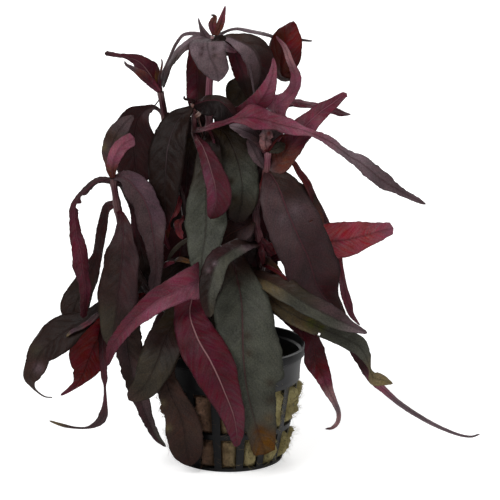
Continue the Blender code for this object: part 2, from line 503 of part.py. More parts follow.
def make_front_leaves():
    make_leaf("leaf_front_green", "stem_centre", GREEN, [
        (-3.8, 72, -1), (1, 71.5, -8), (3, 62, -17), (5, 49, -26), (6.5, 36, -31), (8.5, 24, -32), (10.5, 14, -30),
        (13, 1.5, -26)], [1.6, 10, 18, 20.5, 18, 13, 11, 7, 3], 0, 8)
    make_leaf("leaf_front_magenta", "stem_centre", MAGENTA, [
        (-4.2, 54.5, -1.5), (-8, 56.5, -9), (-11.6, 55.5, -16.5), (-13.3, 50, -23.5), (-12, 44.5, -28.5),
        (-9.6, 38, -33.5), (-6.3, 31, -36.5), (-2.5, 23, -37), (1.5, 13, -35), (2.7, 3.3, -32)],
        [1.5, 6, 11.5, 13, 13, 12, 10, 7.5, 4.5, 1.5], 170)
    make_leaf("leaf_front_pink", "stem_centre", MAUVE, [
        (-6.2, 66, -1.5), (-9.5, 64.5, -9), (-12, 62.5, -18), (-15, 61, -25), (-18.5, 59.5, -29), (-22.5, 56.8, -31.5),
        (-28, 52, -32), (-33, 47, -31), (-38, 42, -28.5), (-42.5, 37, -26)],
        [1.5, 7, 11, 12, 11.5, 10, 8.5, 6, 3.5, 1], 160)
    make_leaf("leaf_pot_olive", "stem_centre", OLIVE, [
        (-5.8, 59.5, 1), (-12, 59, -0.5), (-17.5, 55, -7.6), (-21, 48, -14.5), (-23.5, 40, -23), (-27, 31, -27.5),
        (-31, 24, -26), (-34.8, 19.8, -23)], [1.5, 7, 12.5, 13, 12.5, 10, 6, 1], 15)
    make_leaf("leaf_pot_brown", "stem_left", DARK, [
        (-17.5, 46, -6.5), (-20, 42.5, -14), (-20.5, 36, -21), (-19.8, 29, -25), (-17.8, 19, -26.5), (-15.5, 10, -26),
        (-13.2, 2, -24.5), (-12.5, -2.5, -23)], [1.5, 7, 11.5, 12, 11, 8.5, 5, 1.5], 15)
    make_leaf("leaf_pot_hanging", "stem_left", DARK, [
        (-31.5, 61, -7.5), (-35.3, 57, -10), (-35.7, 48, -12), (-35, 40, -13), (-33.5, 30, -14), (-30.5, 20, -14),
        (-28.5, 13, -14), (-25.5, 7, -15), (-22.3, 3.8, -16)], [1.4, 7, 8, 7.5, 6.5, 5.5, 4.5, 1], 25)


def make_back_leaves():
    make_leaf("leaf_back_left", "stem_back", MAGENTA, [
        (-8, 111, 25), (-12, 112, 29), (-16, 106, 32), (-19, 96, 34), (-20.5, 86, 34), (-21, 75, 32)],
        [1.4, 9, 11, 9.5, 6, 1.2], 165)
    make_leaf("leaf_back_right", "stem_back", MAGENTA, [
        (-6, 109, 25), (-1, 110.5, 29), (1.5, 105, 33), (2.5, 95, 35), (3, 84, 35), (3, 73, 33)],
        [1.4, 9, 12, 11, 7, 1.2], 165)
    make_leaf("leaf_back_middle", "stem_back", CRIMSON, [
        (-10.2, 81.5, 21), (-14, 81.5, 26), (-17, 74, 30), (-19, 64, 32), (-20, 54, 32), (-20, 47, 31)],
        [1.4, 10, 12.5, 10, 6, 1.2], 160)
    make_leaf("leaf_back_side", "stem_upper_right", MAGENTA, [
        (10.9, 80, 9), (13, 80.5, 14), (14.4, 75, 18), (13.9, 67, 20), (14.8, 59, 20), (16.2, 52.5, 18)],
        [1.4, 6, 7.5, 6, 5, 1.2], 160)
    make_leaf("leaf_back_pot_right", "stem_back", MAGENTA, [
        (-4, 48, 15), (0, 51.5, 22), (3, 50, 29), (4, 45, 34), (5, 37, 36), (6, 27, 35)],
        [1.4, 9, 12, 11, 7, 1.2], 170)
    make_leaf("leaf_back_pot_left", "stem_back", MAGENTA, [
        (-6, 53, 15), (-12, 53.5, 21), (-18, 50, 26), (-22.5, 44, 29), (-25, 36, 30), (-26.5, 27, 29)],
        [1.4, 9, 11.5, 10, 6, 1.2], 165)


for old in list(bpy.data.objects):
    bpy.data.objects.remove(old)
plant = bpy.data.collections.new("potted_sessile_joyweed")
guides = bpy.data.collections.new("cutters")
bpy.context.scene.collection.children.link(plant)
bpy.context.scene.collection.children.link(guides)
stems = {}
make_pot()
make_wool()
make_stems()
make_crown_leaves()
make_left_leaves()
make_centre_leaves()
make_upper_right_leaves()
make_right_leaves()
make_front_leaves()
make_back_leaves()
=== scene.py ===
# Potted sessile joyweed: a fine skin for each leaf and stem, the net pot and its rock wool.
import json
import math
import random

import bpy
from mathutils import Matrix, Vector, noise


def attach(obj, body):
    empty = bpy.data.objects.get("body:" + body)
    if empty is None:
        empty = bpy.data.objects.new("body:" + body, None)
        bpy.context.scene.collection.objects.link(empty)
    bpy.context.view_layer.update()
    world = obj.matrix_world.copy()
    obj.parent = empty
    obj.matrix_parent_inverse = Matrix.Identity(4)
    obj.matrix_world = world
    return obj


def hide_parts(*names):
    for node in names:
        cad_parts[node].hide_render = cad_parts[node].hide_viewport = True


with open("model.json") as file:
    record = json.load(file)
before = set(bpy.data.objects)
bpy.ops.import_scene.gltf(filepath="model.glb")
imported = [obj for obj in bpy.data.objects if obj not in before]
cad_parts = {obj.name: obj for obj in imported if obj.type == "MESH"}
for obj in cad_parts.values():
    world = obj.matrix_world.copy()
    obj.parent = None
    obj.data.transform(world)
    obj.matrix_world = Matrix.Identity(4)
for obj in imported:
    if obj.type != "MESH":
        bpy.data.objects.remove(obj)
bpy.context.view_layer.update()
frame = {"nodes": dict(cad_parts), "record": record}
finishSlots = {entry["node"]: entry["material_slot"] for entry in frame["record"]["subparts"]}
print("frame loaded:", len(frame["nodes"]), "nodes")

mm = 0.001

# The view from the front and a little above, in whose picture plane the routes are laid out, millimetres
view = {"tilt": math.radians(13.6), "range": 1100.0, "middle": (7.35, 72.8), "width": 176.2}

# Colours, as sRGB bytes; mist and ash are pale grey-mauves, which some leaves also use as painted sheen
palette = {
    "pitch": (24, 16, 14), "night": (34, 22, 19), "soil": (42, 28, 24), "umber": (50, 34, 31),
    "bark": (64, 46, 40), "plum": (60, 40, 42), "dusk": (76, 58, 60), "ash": (96, 78, 82),
    "mist": (120, 101, 107), "bone": (190, 165, 156), "olive": (46, 35, 24), "moss": (60, 53, 44),
    "sage": (77, 76, 67), "khaki": (95, 82, 60), "straw": (126, 110, 80), "fern": (84, 88, 40),
    "clay": (104, 58, 50), "rust": (92, 60, 30), "amber": (112, 72, 22), "wine": (46, 18, 20),
    "garnet": (66, 26, 32), "crimson": (86, 24, 27), "blood": (110, 32, 34), "rose": (165, 74, 82),
    "coral": (206, 110, 116), "berry": (82, 38, 47), "magenta": (100, 46, 58), "pink": (122, 62, 76),
    "orchid": (142, 82, 98), "blush": (168, 124, 126), "mauve": (84, 62, 70), "lichen": (76, 77, 68),
    "cerise": (82, 31, 42), "claret": (42, 10, 17), "brick": (66, 24, 18), "violet": (98, 52, 66),
}

# Sheen is what the leaves' gloss adds to every colour under this light, so it is taken off beforehand
paint = {"sheen": 0.004, "darkest": 0.0012, "strength": 0.8}


def tone(name):
    linear = [((value / 255 + 0.055) / 1.055) ** 2.4 for value in palette[name]]
    return [max(paint["darkest"], value - paint["sheen"]) * paint["strength"] for value in linear]


def toneAlong(names, place):
    names = names.split()
    if len(names) == 1:
        return tone(names[0])
    index, part = between(names, place)
    return blended(tone(names[index]), tone(names[index + 1]), eased(part))


def blended(first, second, part):
    return [a + (b - a) * part for a, b in zip(first, second)]


def eased(part):
    part = min(1, max(0, part))
    return part * part * (3 - 2 * part)


def between(values, place):  # which value comes before a place from 0 to 1, and how near it is to the next
    at = place * (len(values) - 1)
    index = min(int(at), len(values) - 2)
    return index, at - index


# Routes and frames, in millimetres

def spot(across, rise, depth):  # the point seen at (across, rise) that lies depth behind the pot's axis
    sinTilt, cosTilt = math.sin(view["tilt"]), math.cos(view["tilt"])
    off = rise - view["middle"][1]
    height = (rise + off * depth * cosTilt / view["range"] - depth * sinTilt) / (
        cosTilt + off * sinTilt / view["range"])
    scale = 1 + (depth * cosTilt - height * sinTilt) / view["range"]
    return Vector((view["middle"][0] + (across - view["middle"][0]) * scale, depth, height))


def seen(point):  # where a point shows in the picture plane
    sinTilt, cosTilt = math.sin(view["tilt"]), math.cos(view["tilt"])
    scale = 1 + (point.y * cosTilt - point.z * sinTilt) / view["range"]
    rise = point.y * sinTilt + point.z * cosTilt
    return (view["middle"][0] + (point.x - view["middle"][0]) / scale,
            view["middle"][1] + (rise - view["middle"][1]) / scale)


def spline(before, start, end, after, part):
    return 0.5 * (2 * start + (end - before) * part
                  + (2 * before - 5 * start + 4 * end - after) * part * part
                  + (3 * start - before - 3 * end + after) * part * part * part)


def smooth(points, perSpan=16):
    knots = [points[0] * 2 - points[1]] + points + [points[-1] * 2 - points[-2]]
    curve = []
    for span in zip(knots, knots[1:], knots[2:], knots[3:]):
        curve += [spline(*span, step / perSpan) for step in range(perSpan)]
    return curve + [points[-1]]


def evenly(curve, count):  # count + 1 points at equal distances, and the share of the curve's own before each
    lengths = [0.0]
    for start, end in zip(curve, curve[1:]):
        lengths.append(lengths[-1] + (end - start).length)
    points, shares, index = [], [], 0
    for step in range(count + 1):
        wanted = lengths[-1] * step / count
        while index < len(lengths) - 2 and lengths[index + 1] < wanted:
            index += 1
        part = (wanted - lengths[index]) / (lengths[index + 1] - lengths[index])
        points.append(curve[index].lerp(curve[index + 1], part))
        shares.append(min(1, (index + part) / (len(curve) - 1)))
    return points, shares


def lengthOf(curve):
    return sum((end - start).length for start, end in zip(curve, curve[1:]))


def mixAlong(values, place):
    if not isinstance(values, (list, tuple)):
        return values
    index, part = between(values, place)
    return values[index] + (values[index + 1] - values[index]) * eased(part)


def widthAlong(widths, place):  # a rounder curve through the widths, held close to the two beside the place
    index, part = between(widths, place)
    start, end = widths[index], widths[index + 1]
    before = widths[index - 1] if index else 2 * start - end
    after = widths[index + 2] if index + 2 < len(widths) else 2 * end - start
    narrowest, widest = min(start, end) * 0.9, max(start, end) * 1.06
    return max(narrowest, min(widest, spline(before, start, end, after, part)))


def framesAlong(centres, turn):  # side and face directions at each point, swung round the route by turn
    count = len(centres) - 1
    tangents = [(centres[min(i + 1, count)] - centres[max(i - 1, 0)]).normalized() for i in range(count + 1)]
    middle = count // 2  # the face looks at the viewer there, and turn swings it outwards, or up if flat
    viewer = Vector((0, -math.cos(view["tilt"]), math.sin(view["tilt"])))
    along = tangents[middle]
    face = (viewer - along * viewer.dot(along)).normalized()
    side = along.cross(face).normalized()
    if abs(along.x) > abs(along.z):
        outwards = side.z > 0
    else:
        outwards = (side.x > 0) == (centres[middle].x > 0)
    if not outwards:
        side = -side
    pairs = [None] * (count + 1)
    for indices in (range(middle, count + 1), range(middle, -1, -1)):
        faceNow, sideNow, last = face, side, along
        for index in indices:
            swing = last.rotation_difference(tangents[index])
            faceNow, sideNow, last = swing @ faceNow, swing @ sideNow, tangents[index]
            angle = math.radians(mixAlong(turn, index / count))
            pairs[index] = (sideNow * math.cos(angle) - faceNow * math.sin(angle),
                            faceNow * math.cos(angle) + sideNow * math.sin(angle))
    return pairs


def rough(*place):
    return noise.noise(Vector(place))


# Materials

def addNode(tree, kind, **settings):
    item = tree.nodes.new("ShaderNode" + kind)
    for key, value in settings.items():
        setattr(item, key, value)
    return item


def feed(tree, socket, value):
    if isinstance(value, bpy.types.NodeSocket):
        tree.links.new(value, socket)
    else:
        socket.default_value = value


def calc(tree, operation, first, second=0.0, third=0.0):
    item = addNode(tree, "Math", operation=operation)
    for socket, value in zip(item.inputs, (first, second, third)):
        feed(tree, socket, value)
    return item.outputs[0]


def ramp(tree, value, low, high, start=0.0, end=1.0):
    item = addNode(tree, "MapRange", interpolation_type="SMOOTHSTEP")
    for socket, given in zip(item.inputs, (value, low, high, start, end)):
        feed(tree, socket, given)
    return item.outputs[0]


def dye(tree, part, first, second, mode="MIX"):
    item = addNode(tree, "Mix", data_type="RGBA", blend_type=mode)
    feed(tree, item.inputs[0], part)
    feed(tree, item.inputs[6], first)
    feed(tree, item.inputs[7], second)
    return item.outputs[2]


def grain(tree, vector, scale, detail=3.0, roughness=0.55):
    item = addNode(tree, "TexNoise")
    feed(tree, item.inputs["Vector"], vector)
    item.inputs["Scale"].default_value = scale
    item.inputs["Detail"].default_value = detail
    item.inputs["Roughness"].default_value = roughness
    return item.outputs[0]


def centred(tree, value):
    return calc(tree, "SUBTRACT", value, 0.5)


def apart(tree, vector):
    item = addNode(tree, "SeparateXYZ")
    tree.links.new(vector, item.inputs[0])
    return item.outputs


def together(tree, first, second):
    item = addNode(tree, "CombineXYZ")
    tree.links.new(first, item.inputs[0])
    tree.links.new(second, item.inputs[1])
    return item.outputs[0]


def readAttribute(tree, name, output):
    return addNode(tree, "Attribute", attribute_name=name).outputs[output]


def newGroup(name, inputs, outputs):
    tree = bpy.data.node_groups.new(name, "ShaderNodeTree")
    for label, kind, value in inputs:
        socket = tree.interface.new_socket(label, in_out="INPUT", socket_type=kind)
        socket.default_value = value
    for label, kind in outputs:
        tree.interface.new_socket(label, in_out="OUTPUT", socket_type=kind)
    return tree, tree.nodes.new("NodeGroupInput"), tree.nodes.new("NodeGroupOutput")


def newMaterial(name, roughness, specular=0.5):
    material = bpy.data.materials.new(name)
    material.use_nodes = True
    tree = material.node_tree
    shader = tree.nodes["Principled BSDF"]
    shader.inputs["Roughness"].default_value = roughness
    shader.inputs["Specular IOR Level"].default_value = specular
    return material, tree, shader


def useGroup(tree, group, **values):
    item = addNode(tree, "Group", node_tree=group)
    for key, value in values.items():
        feed(tree, item.inputs[key], value)
    return item


def addBump(tree, shader, height, strength, distance):
    bump = addNode(tree, "Bump")
    bump.inputs["Strength"].default_value = strength
    bump.inputs["Distance"].default_value = distance
    tree.links.new(height, bump.inputs["Height"])
    tree.links.new(bump.outputs[0], shader.inputs["Normal"])


# The leaf's skin reads the attribute "flat": millimetres along the leaf, across it, and its half width there.
# A pair is a pattern's scale and strength, the two ends of a fade, or a factor and what is added to it.
skinPlan = {
    "rib": (0.015, 0.1), "ribEdges": (1.6, 0.5, 5.0), "grooveShadow": -0.22, "netScale": 0.85, "netLine": 0.1,
    "netShare": 0.35, "spacing": 3.6, "lead": 0.75, "bend": 0.5, "wander": (0.14, 3.4), "stagger": 1.3,
    "veinLine": (0.43, 0.49), "veinFade": (0.98, 0.5), "pillowFade": (1.0, 0.4), "broad": (0.12, 1.5),
    "streak": (0.75, 0.5), "streakStretch": 0.3, "fine": (1.7, 2.2), "darkest": 0.3,
    "margin": (1.02, 0.86, 0.7), "hue": (0.22, 0.05), "saturation": 0.8, "veinTint": 0.45,
    "roughness": (0.35, 0.46),
    "relief": {"pillow": 0.8, "fine": 0.45, "streak": 0.6, "net": 0.1, "rib": 0.5},
}


def leafSkinGroup():
    plan, relief = skinPlan, skinPlan["relief"]
    tree, given, out = newGroup("leafSkin", [
        ("Tint", "NodeSocketColor", (0.1, 0.1, 0.1, 1)), ("Rib tint", "NodeSocketColor", (0.1, 0.1, 0.1, 1)),
        ("Vein strength", "NodeSocketFloat", 0.3), ("Rib strength", "NodeSocketFloat", 0.8),
        ("Mottle", "NodeSocketFloat", 0.4)],
        [("Color", "NodeSocketColor"), ("Roughness", "NodeSocketFloat"), ("Height", "NodeSocketFloat")])
    along, reach, half = apart(tree, readAttribute(tree, "flat", 1))
    sheet = together(tree, along, reach)
    off = calc(tree, "ABSOLUTE", reach)
    edge = calc(tree, "DIVIDE", off, calc(tree, "MAXIMUM", half, 0.2))

    # Midrib and the groove that it lies in
    ribHalf = calc(tree, "MULTIPLY_ADD", half, *plan["rib"])
    outer, inner, wide = (calc(tree, "MULTIPLY", ribHalf, times) for times in plan["ribEdges"])
    rib = ramp(tree, off, outer, inner)
    groove = ramp(tree, off, wide, ribHalf)

    # Side veins, which lead forwards and bend, with a pillow of leaf between them
    bend = calc(tree, "MULTIPLY", calc(tree, "MULTIPLY", off, edge), plan["bend"])
    lead = calc(tree, "MULTIPLY_ADD", off, plan["lead"], bend)
    stagger = calc(tree, "MULTIPLY", calc(tree, "SIGN", reach), plan["stagger"])
    phase = calc(tree, "ADD", calc(tree, "SUBTRACT", along, lead), stagger)
    scale, strength = plan["wander"]
    wander = calc(tree, "MULTIPLY", centred(tree, grain(tree, sheet, scale, 2)), strength)
    phase = calc(tree, "ADD", phase, wander)
    turns = calc(tree, "DIVIDE", phase, plan["spacing"])
    toVein = calc(tree, "ABSOLUTE", centred(tree, calc(tree, "FRACT", turns)))
    vein = calc(tree, "MULTIPLY", ramp(tree, toVein, *plan["veinLine"]), ramp(tree, edge, *plan["veinFade"]))
    pillow = calc(tree, "SUBTRACT", 0.5, toVein)
    pillow = calc(tree, "MULTIPLY", pillow, ramp(tree, edge, *plan["pillowFade"]))

    # Net of the finest veins
    cells = addNode(tree, "TexVoronoi", feature="DISTANCE_TO_EDGE")
    tree.links.new(sheet, cells.inputs["Vector"])
    cells.inputs["Scale"].default_value = plan["netScale"]
    net = ramp(tree, cells.outputs["Distance"], plan["netLine"], 0.0)

    # Patches, and streaks that follow the veins
    broad = centred(tree, grain(tree, sheet, plan["broad"][0], 3))
    veinwise = together(tree, phase, calc(tree, "MULTIPLY", reach, plan["streakStretch"]))
    streak = centred(tree, grain(tree, veinwise, plan["streak"][0], 3))
    fine = centred(tree, grain(tree, sheet, plan["fine"][0], 4, 0.7))
    blotch = calc(tree, "MULTIPLY", fine, plan["fine"][1])
    blotch = calc(tree, "MULTIPLY_ADD", streak, plan["streak"][1], blotch)
    blotch = calc(tree, "MULTIPLY_ADD", broad, plan["broad"][1], blotch)
    shade = calc(tree, "MULTIPLY_ADD", blotch, given.outputs["Mottle"], 1.0)
    shade = calc(tree, "MAXIMUM", shade, plan["darkest"])
    shade = calc(tree, "MULTIPLY", shade, ramp(tree, edge, *plan["margin"]))
    # painted shadow: the leaf is darker in the groove beside the midrib
    shade = calc(tree, "MULTIPLY", shade, calc(tree, "MULTIPLY_ADD", groove, plan["grooveShadow"], 1.0))

    hue = addNode(tree, "HueSaturation")
    scale, strength = plan["hue"]
    drift = centred(tree, grain(tree, sheet, scale, 3))
    tree.links.new(calc(tree, "MULTIPLY_ADD", drift, strength, 0.5), hue.inputs["Hue"])
    tree.links.new(calc(tree, "MULTIPLY_ADD", streak, plan["saturation"], 1.0), hue.inputs["Saturation"])
    tree.links.new(shade, hue.inputs["Value"])
    tree.links.new(given.outputs["Tint"], hue.inputs["Color"])
    veinTint = dye(tree, plan["veinTint"], given.outputs["Tint"], given.outputs["Rib tint"])
    lines = calc(tree, "MAXIMUM", vein, calc(tree, "MULTIPLY", net, plan["netShare"]))
    lines = calc(tree, "MULTIPLY", lines, given.outputs["Vein strength"])
    colour = dye(tree, lines, hue.outputs[0], veinTint)
    ribPart = calc(tree, "MULTIPLY", rib, given.outputs["Rib strength"])
    colour = dye(tree, ribPart, colour, given.outputs["Rib tint"])

    height = calc(tree, "MULTIPLY", fine, relief["fine"])
    height = calc(tree, "MULTIPLY_ADD", pillow, relief["pillow"], height)
    height = calc(tree, "MULTIPLY_ADD", streak, relief["streak"], height)
    height = calc(tree, "SUBTRACT", height, calc(tree, "MULTIPLY", net, relief["net"]))
    height = calc(tree, "SUBTRACT", height, calc(tree, "MULTIPLY", rib, relief["rib"]))
    tree.links.new(colour, out.inputs["Color"])
    tree.links.new(height, out.inputs["Height"])
    tree.links.new(calc(tree, "MULTIPLY_ADD", fine, *plan["roughness"]), out.inputs["Roughness"])
    return tree


leafFinish = {"top": dict(roughness=0.45, rib=0.55, mottle=0.95, bump=0.6, depth=0.0004, specular=0.14),
              "under": dict(roughness=0.45, rib=0.85, mottle=0.75, bump=0.5, depth=0.0004, specular=0.12)}


def makeLeafMaterials():
    group = leafSkinGroup()
    made = []
    for side, finish in leafFinish.items():
        name = "leaf" + side.capitalize()
        material, tree, shader = newMaterial(name, finish["roughness"], finish["specular"])
        veins, ribs = apart(tree, readAttribute(tree, "lines", 1))[:2]
        skin = useGroup(tree, group, **{"Tint": readAttribute(tree, side + "Tint", 0),
                                        "Rib tint": readAttribute(tree, "ribTint", 0), "Vein strength": veins,
                                        "Rib strength": calc(tree, "MULTIPLY", ribs, finish["rib"]),
                                        "Mottle": finish["mottle"]})
        tree.links.new(skin.outputs["Color"], shader.inputs["Base Color"])
        tree.links.new(skin.outputs["Roughness"], shader.inputs["Roughness"])
        addBump(tree, shader, skin.outputs["Height"], finish["bump"], finish["depth"])
        made.append(material)
    return made


# Stripes run along the stem. Shade: the middle value, what the stripes add and what the grain adds
stemFinish = {"roughness": 0.42, "specular": 0.3, "stripes": 9, "wander": (0.5, 3), "grain": 2.2,
              "shade": (0.72, 0.16, 0.5), "relief": 0.6, "bump": 0.5, "depth": 0.0003}


def makeStemMaterial():
    finish = stemFinish
    material, tree, shader = newMaterial("stemSkin", finish["roughness"], finish["specular"])
    flat = readAttribute(tree, "flat", 1)
    scale, strength = finish["wander"]
    wander = calc(tree, "MULTIPLY", grain(tree, flat, scale, 3), strength)
    stripes = calc(tree, "SINE", calc(tree, "MULTIPLY_ADD", apart(tree, flat)[1], finish["stripes"], wander))
    fine = grain(tree, flat, finish["grain"], 4)
    base, striped, grained = finish["shade"]
    shade = calc(tree, "MULTIPLY_ADD", stripes, striped, base)
    shade = calc(tree, "ADD", shade, calc(tree, "MULTIPLY", fine, grained))
    shadeColour = addNode(tree, "CombineColor")
    for socket in shadeColour.inputs:
        tree.links.new(shade, socket)
    colour = dye(tree, 1.0, readAttribute(tree, "topTint", 0), shadeColour.outputs[0], "MULTIPLY")
    tree.links.new(colour, shader.inputs["Base Color"])
    height = calc(tree, "MULTIPLY_ADD", stripes, finish["relief"], fine)
    addBump(tree, shader, height, finish["bump"], finish["depth"])
    return material




# Building blocks

def clearSelection():
    if bpy.context.object and bpy.context.object.mode != "OBJECT":
        bpy.ops.object.mode_set(mode="OBJECT")
    bpy.ops.object.select_all(action="DESELECT")


def addGrid(name, rows, columns):
    clearSelection()
    bpy.ops.mesh.primitive_grid_add(x_subdivisions=rows, y_subdivisions=columns, size=2, calc_uvs=True)
    sheet = bpy.context.object
    sheet.name = sheet.data.name = name
    return sheet


def applyModifiers(piece):
    clearSelection()
    piece.select_set(True)
    bpy.context.view_layer.objects.active = piece
    for modifier in list(piece.modifiers):
        bpy.ops.object.modifier_apply(modifier=modifier.name)


def writeAttribute(mesh, name, kind, entries):
    layer = mesh.attributes.new(name, kind, "POINT")
    field = "color" if kind == "FLOAT_COLOR" else "vector"
    layer.data.foreach_set(field, [value for entry in entries for value in entry])


def seat(piece, node=None, finishSlot=None):  # a finished piece rides on the plant's one body
    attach(piece, "root")
    if node in finishSlots:
        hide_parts(node)


# Stems: routes as in the solids, thickness as radii, tints from the base up
stemPlans = {
    "stem_centre": dict(radii=(1.35, 1.15), tint="olive umber wine wine garnet orchid blush", route=[
        (-2, 36, 2), (-4, 52, 1), (-5, 70, 0), (-7, 100, 0), (-7, 118, 0), (-7, 130, 0), (-6, 141, 0),
        (-5, 148, 0)]),
    "side_shoot": dict(radii=(0.9, 0.8), tint="garnet garnet crimson crimson magenta clay", route=[
        (-7.2, 101, 0), (-9.5, 106, -0.6), (-12, 113, -1), (-12.3, 119, -1), (-12.5, 124.5, -1)]),
    "stem_upper_left": dict(radii=(1.15, 0.9), tint="olive umber wine wine garnet garnet berry", route=[
        (-6, 37, 6), (-10, 55, 7), (-12, 70, 7), (-16, 88, 6), (-19, 100, 5), (-22.8, 119.5, 3),
        (-24.2, 128.5, 2)]),
    "stem_right": dict(radii=(1.2, 1.0), tint="olive umber crimson wine magenta berry crimson orchid", route=[
        (3, 35, -5), (6, 50, -6), (11.5, 67, -6), (11, 75, -6), (9.5, 83, -7), (10, 90, -8), (13, 100, -10),
        (13.7, 107.5, -12)]),
    "stem_left": dict(radii=(1.2, 1.1), tint="olive umber wine wine garnet berry berry", route=[
        (-9, 35, -3), (-17, 47, -2.5), (-28, 58, -4), (-36, 72, -6), (-39, 86, -6), (-39.7, 90, -6),
        (-41, 98, -6)]),
    "stem_upper_right": dict(radii=(1.15, 0.9), tint="olive umber wine wine garnet pink orchid", route=[
        (6, 37, 7), (8, 52, 8), (10, 70, 8), (15, 95, 8), (18, 112, 6), (19, 121, 5), (20.5, 127.5, 5)]),
    "stem_back": dict(radii=(1.15, 0.9), tint="olive umber berry pink", route=[
        (-3, 38, 11), (-7, 60, 16), (-9, 80, 20), (-8, 98, 23), (-7, 112, 24)]),
}
stemShape = {"columns": 24, "rowStep": 0.9, "ribs": 8, "ribDepth": 0.05, "lumps": 0.08, "lumpStep": 0.2,
             "nodeSwell": 0.3, "nodeReach": 1.6, "nodeTint": "bone", "nodeShade": 0.15, "weld": 0.02}
stemCurves = {name: smooth([spot(*point) for point in plan["route"]]) for name, plan in stemPlans.items()}
stemNodes = {name: [] for name in stemPlans}  # where leaves leave each stem


def faceOutwards():
    bpy.ops.mesh.select_all(action="SELECT")
    bpy.ops.mesh.normals_make_consistent(inside=False)


def growStem(name, material):
    plan, shape = stemPlans[name], stemShape
    curve = stemCurves[name]
    length = lengthOf(curve)
    rows = round(length / shape["rowStep"])
    centres = evenly(curve, rows)[0]
    frames = framesAlong(centres, 0)
    tube = addGrid(name + "_skin", rows, shape["columns"])
    thick, thin = plan["radii"]
    spots, flat, tint = [], [], []
    for vert in tube.data.vertices:
        place, angle = (vert.co.x + 1) / 2, (vert.co.y + 1) * math.pi
        row = round(place * rows)
        side, face = frames[row]
        near = max([math.exp(-((centres[row] - node).length / shape["nodeReach"]) ** 2)
                    for node in stemNodes[name]] or [0])
        radius = thick + (thin - thick) * place
        radius *= 1 + shape["nodeSwell"] * near + shape["ribDepth"] * math.cos(shape["ribs"] * angle)
        across, up = math.cos(angle), math.sin(angle)
        radius *= 1 + shape["lumps"] * rough(place * length * shape["lumpStep"], across, up)
        spots.extend((centres[row] + side * radius * across + face * radius * up) * mm)
        flat.append((place * length, angle, radius))
        shade = near * shape["nodeShade"] * place
        tint.append((*blended(toneAlong(plan["tint"], place), tone(shape["nodeTint"]), shade), 1))
    mesh = tube.data
    mesh.vertices.foreach_set("co", spots)
    writeAttribute(mesh, "flat", "FLOAT_VECTOR", flat)
    writeAttribute(mesh, "topTint", "FLOAT_COLOR", tint)
    bpy.ops.object.mode_set(mode="EDIT")
    bpy.ops.mesh.select_all(action="SELECT")
    bpy.ops.mesh.remove_doubles(threshold=shape["weld"] * mm)
    bpy.ops.mesh.select_all(action="DESELECT")
    bpy.ops.mesh.select_non_manifold()
    bpy.ops.mesh.fill()
    faceOutwards()
    bpy.ops.object.mode_set(mode="OBJECT")
    mesh.shade_smooth()
    mesh.materials.append(material)
    seat(tube, name, "stem")


# Leaves: the route runs from the stem out, and widths are as the front view shows them. Turn 0 shows the
# upper side. The other half is the one on the right, or the upper one where the leaf lies flat, and uneven
# widens it and narrows the first. Tints run from the stem out. A dab is (across, rise, size, tint).
leafShape = {
    "rowStep": 0.7, "rows": (16, 180), "columns": 14, "slim": 3.4, "slimColumns": 8, "rooting": 0.5,
    "leastShown": 0.3, "leastHalf": 0.07, "bittenHalf": 0.3, "biteStep": 0.1,
    "margin": {"broad": (0.2, 5, 0.06), "fine": (0.75, 9, 0.22), "finest": (1.7, 7, 0.12)},
    "keel": 0.4, "broadHalf": 3, "offBeat": 2.2, "puckerSpan": (3.4, 2.6), "buckleSpan": (9, 7),
    "buckle": 0.7, "buckleBase": 0.4, "thickness": 0.9, "edgeShare": 0.2, "ridgeHalf": 0.5,
    "ridgeShare": 0.75, "ridgeThins": 0.8, "footLength": 5, "dabFade": 1.4,
}
leafUsual = {
    "stem": None, "slot": None, "turn": 15, "fold": 12, "curl": 0.12, "wave": (0.3, 3.3), "pucker": 0.3,
    "ragged": 1, "uneven": 0, "bites": [], "holes": [], "rib": "umber", "ribs": [0.3, 0.9, 1, 0.8, 0.5, 0],
    "veins": 0.12, "otherHalf": None, "dabs": [],
}


def leafPath(plan):
    points = [spot(*point) for point in plan["route"]]
    if plan["stem"]:
        curve = stemCurves[plan["stem"]]
        start = min(curve, key=lambda place: (place - points[0]).length)
        points[0] = start + (points[1] - start).normalized() * leafShape["rooting"]
        stemNodes[plan["stem"]].append(start)
    return smooth(points)


def otherSide(centre, side):  # 1 when the side direction points right, or up where the leaf lies flat
    start, end = seen(centre), seen(centre + side)
    across, rise = end[0] - start[0], end[1] - start[1]
    return 1 if (across if abs(across) >= abs(rise) else rise) > 0 else -1


def marginNoise(kind, run, sign, seed):
    often, apartBy, size = leafShape["margin"][kind]
    return size * rough(run * often, sign * apartBy, seed)


def leafHalves(plan, centres, frames, shares, length, other, seed):  # half width at each row, on either side
    rows = len(centres) - 1
    widths, ragged = plan["widths"], plan["ragged"]
    tipSpan = plan.get("tip", max(0.8, widths[-1] * 0.8))  # the length over which the tip is rounded
    matched = len(widths) == len(plan["route"])  # then every width belongs to its own point of the route
    halves = {}
    for row in range(rows + 1):
        place = row / rows
        run = place * length
        side = frames[row][0]
        shown = max(leafShape["leastShown"], abs(math.cos(math.radians(mixAlong(plan["turn"], place)))))
        full = widthAlong(widths, shares[row] if matched else place) / 2 / shown
        full /= math.cos(math.radians(plan["fold"]))
        fromTip = (1 - place) * length
        if fromTip < tipSpan:
            full *= math.sqrt(max(0.0, 1 - (1 - fromTip / tipSpan) ** 2))
        lean = mixAlong(plan["uneven"], shares[row])
        for sign in (-1, 1):
            half = full * (1 + lean * sign * other) * (1 + ragged * marginNoise("broad", run, sign, seed))
            jagged = marginNoise("fine", run, sign, seed) + marginNoise("finest", run, sign, seed)
            half += min(1, full / 2) * ragged * jagged
            for across, rise, reach in plan["bites"]:
                while half > leafShape["bittenHalf"] and math.dist(
                        seen(centres[row] + side * sign * half), (across, rise)) < reach:
                    half -= leafShape["biteStep"]
            halves[row, sign] = max(leafShape["leastHalf"], half)
    return halves


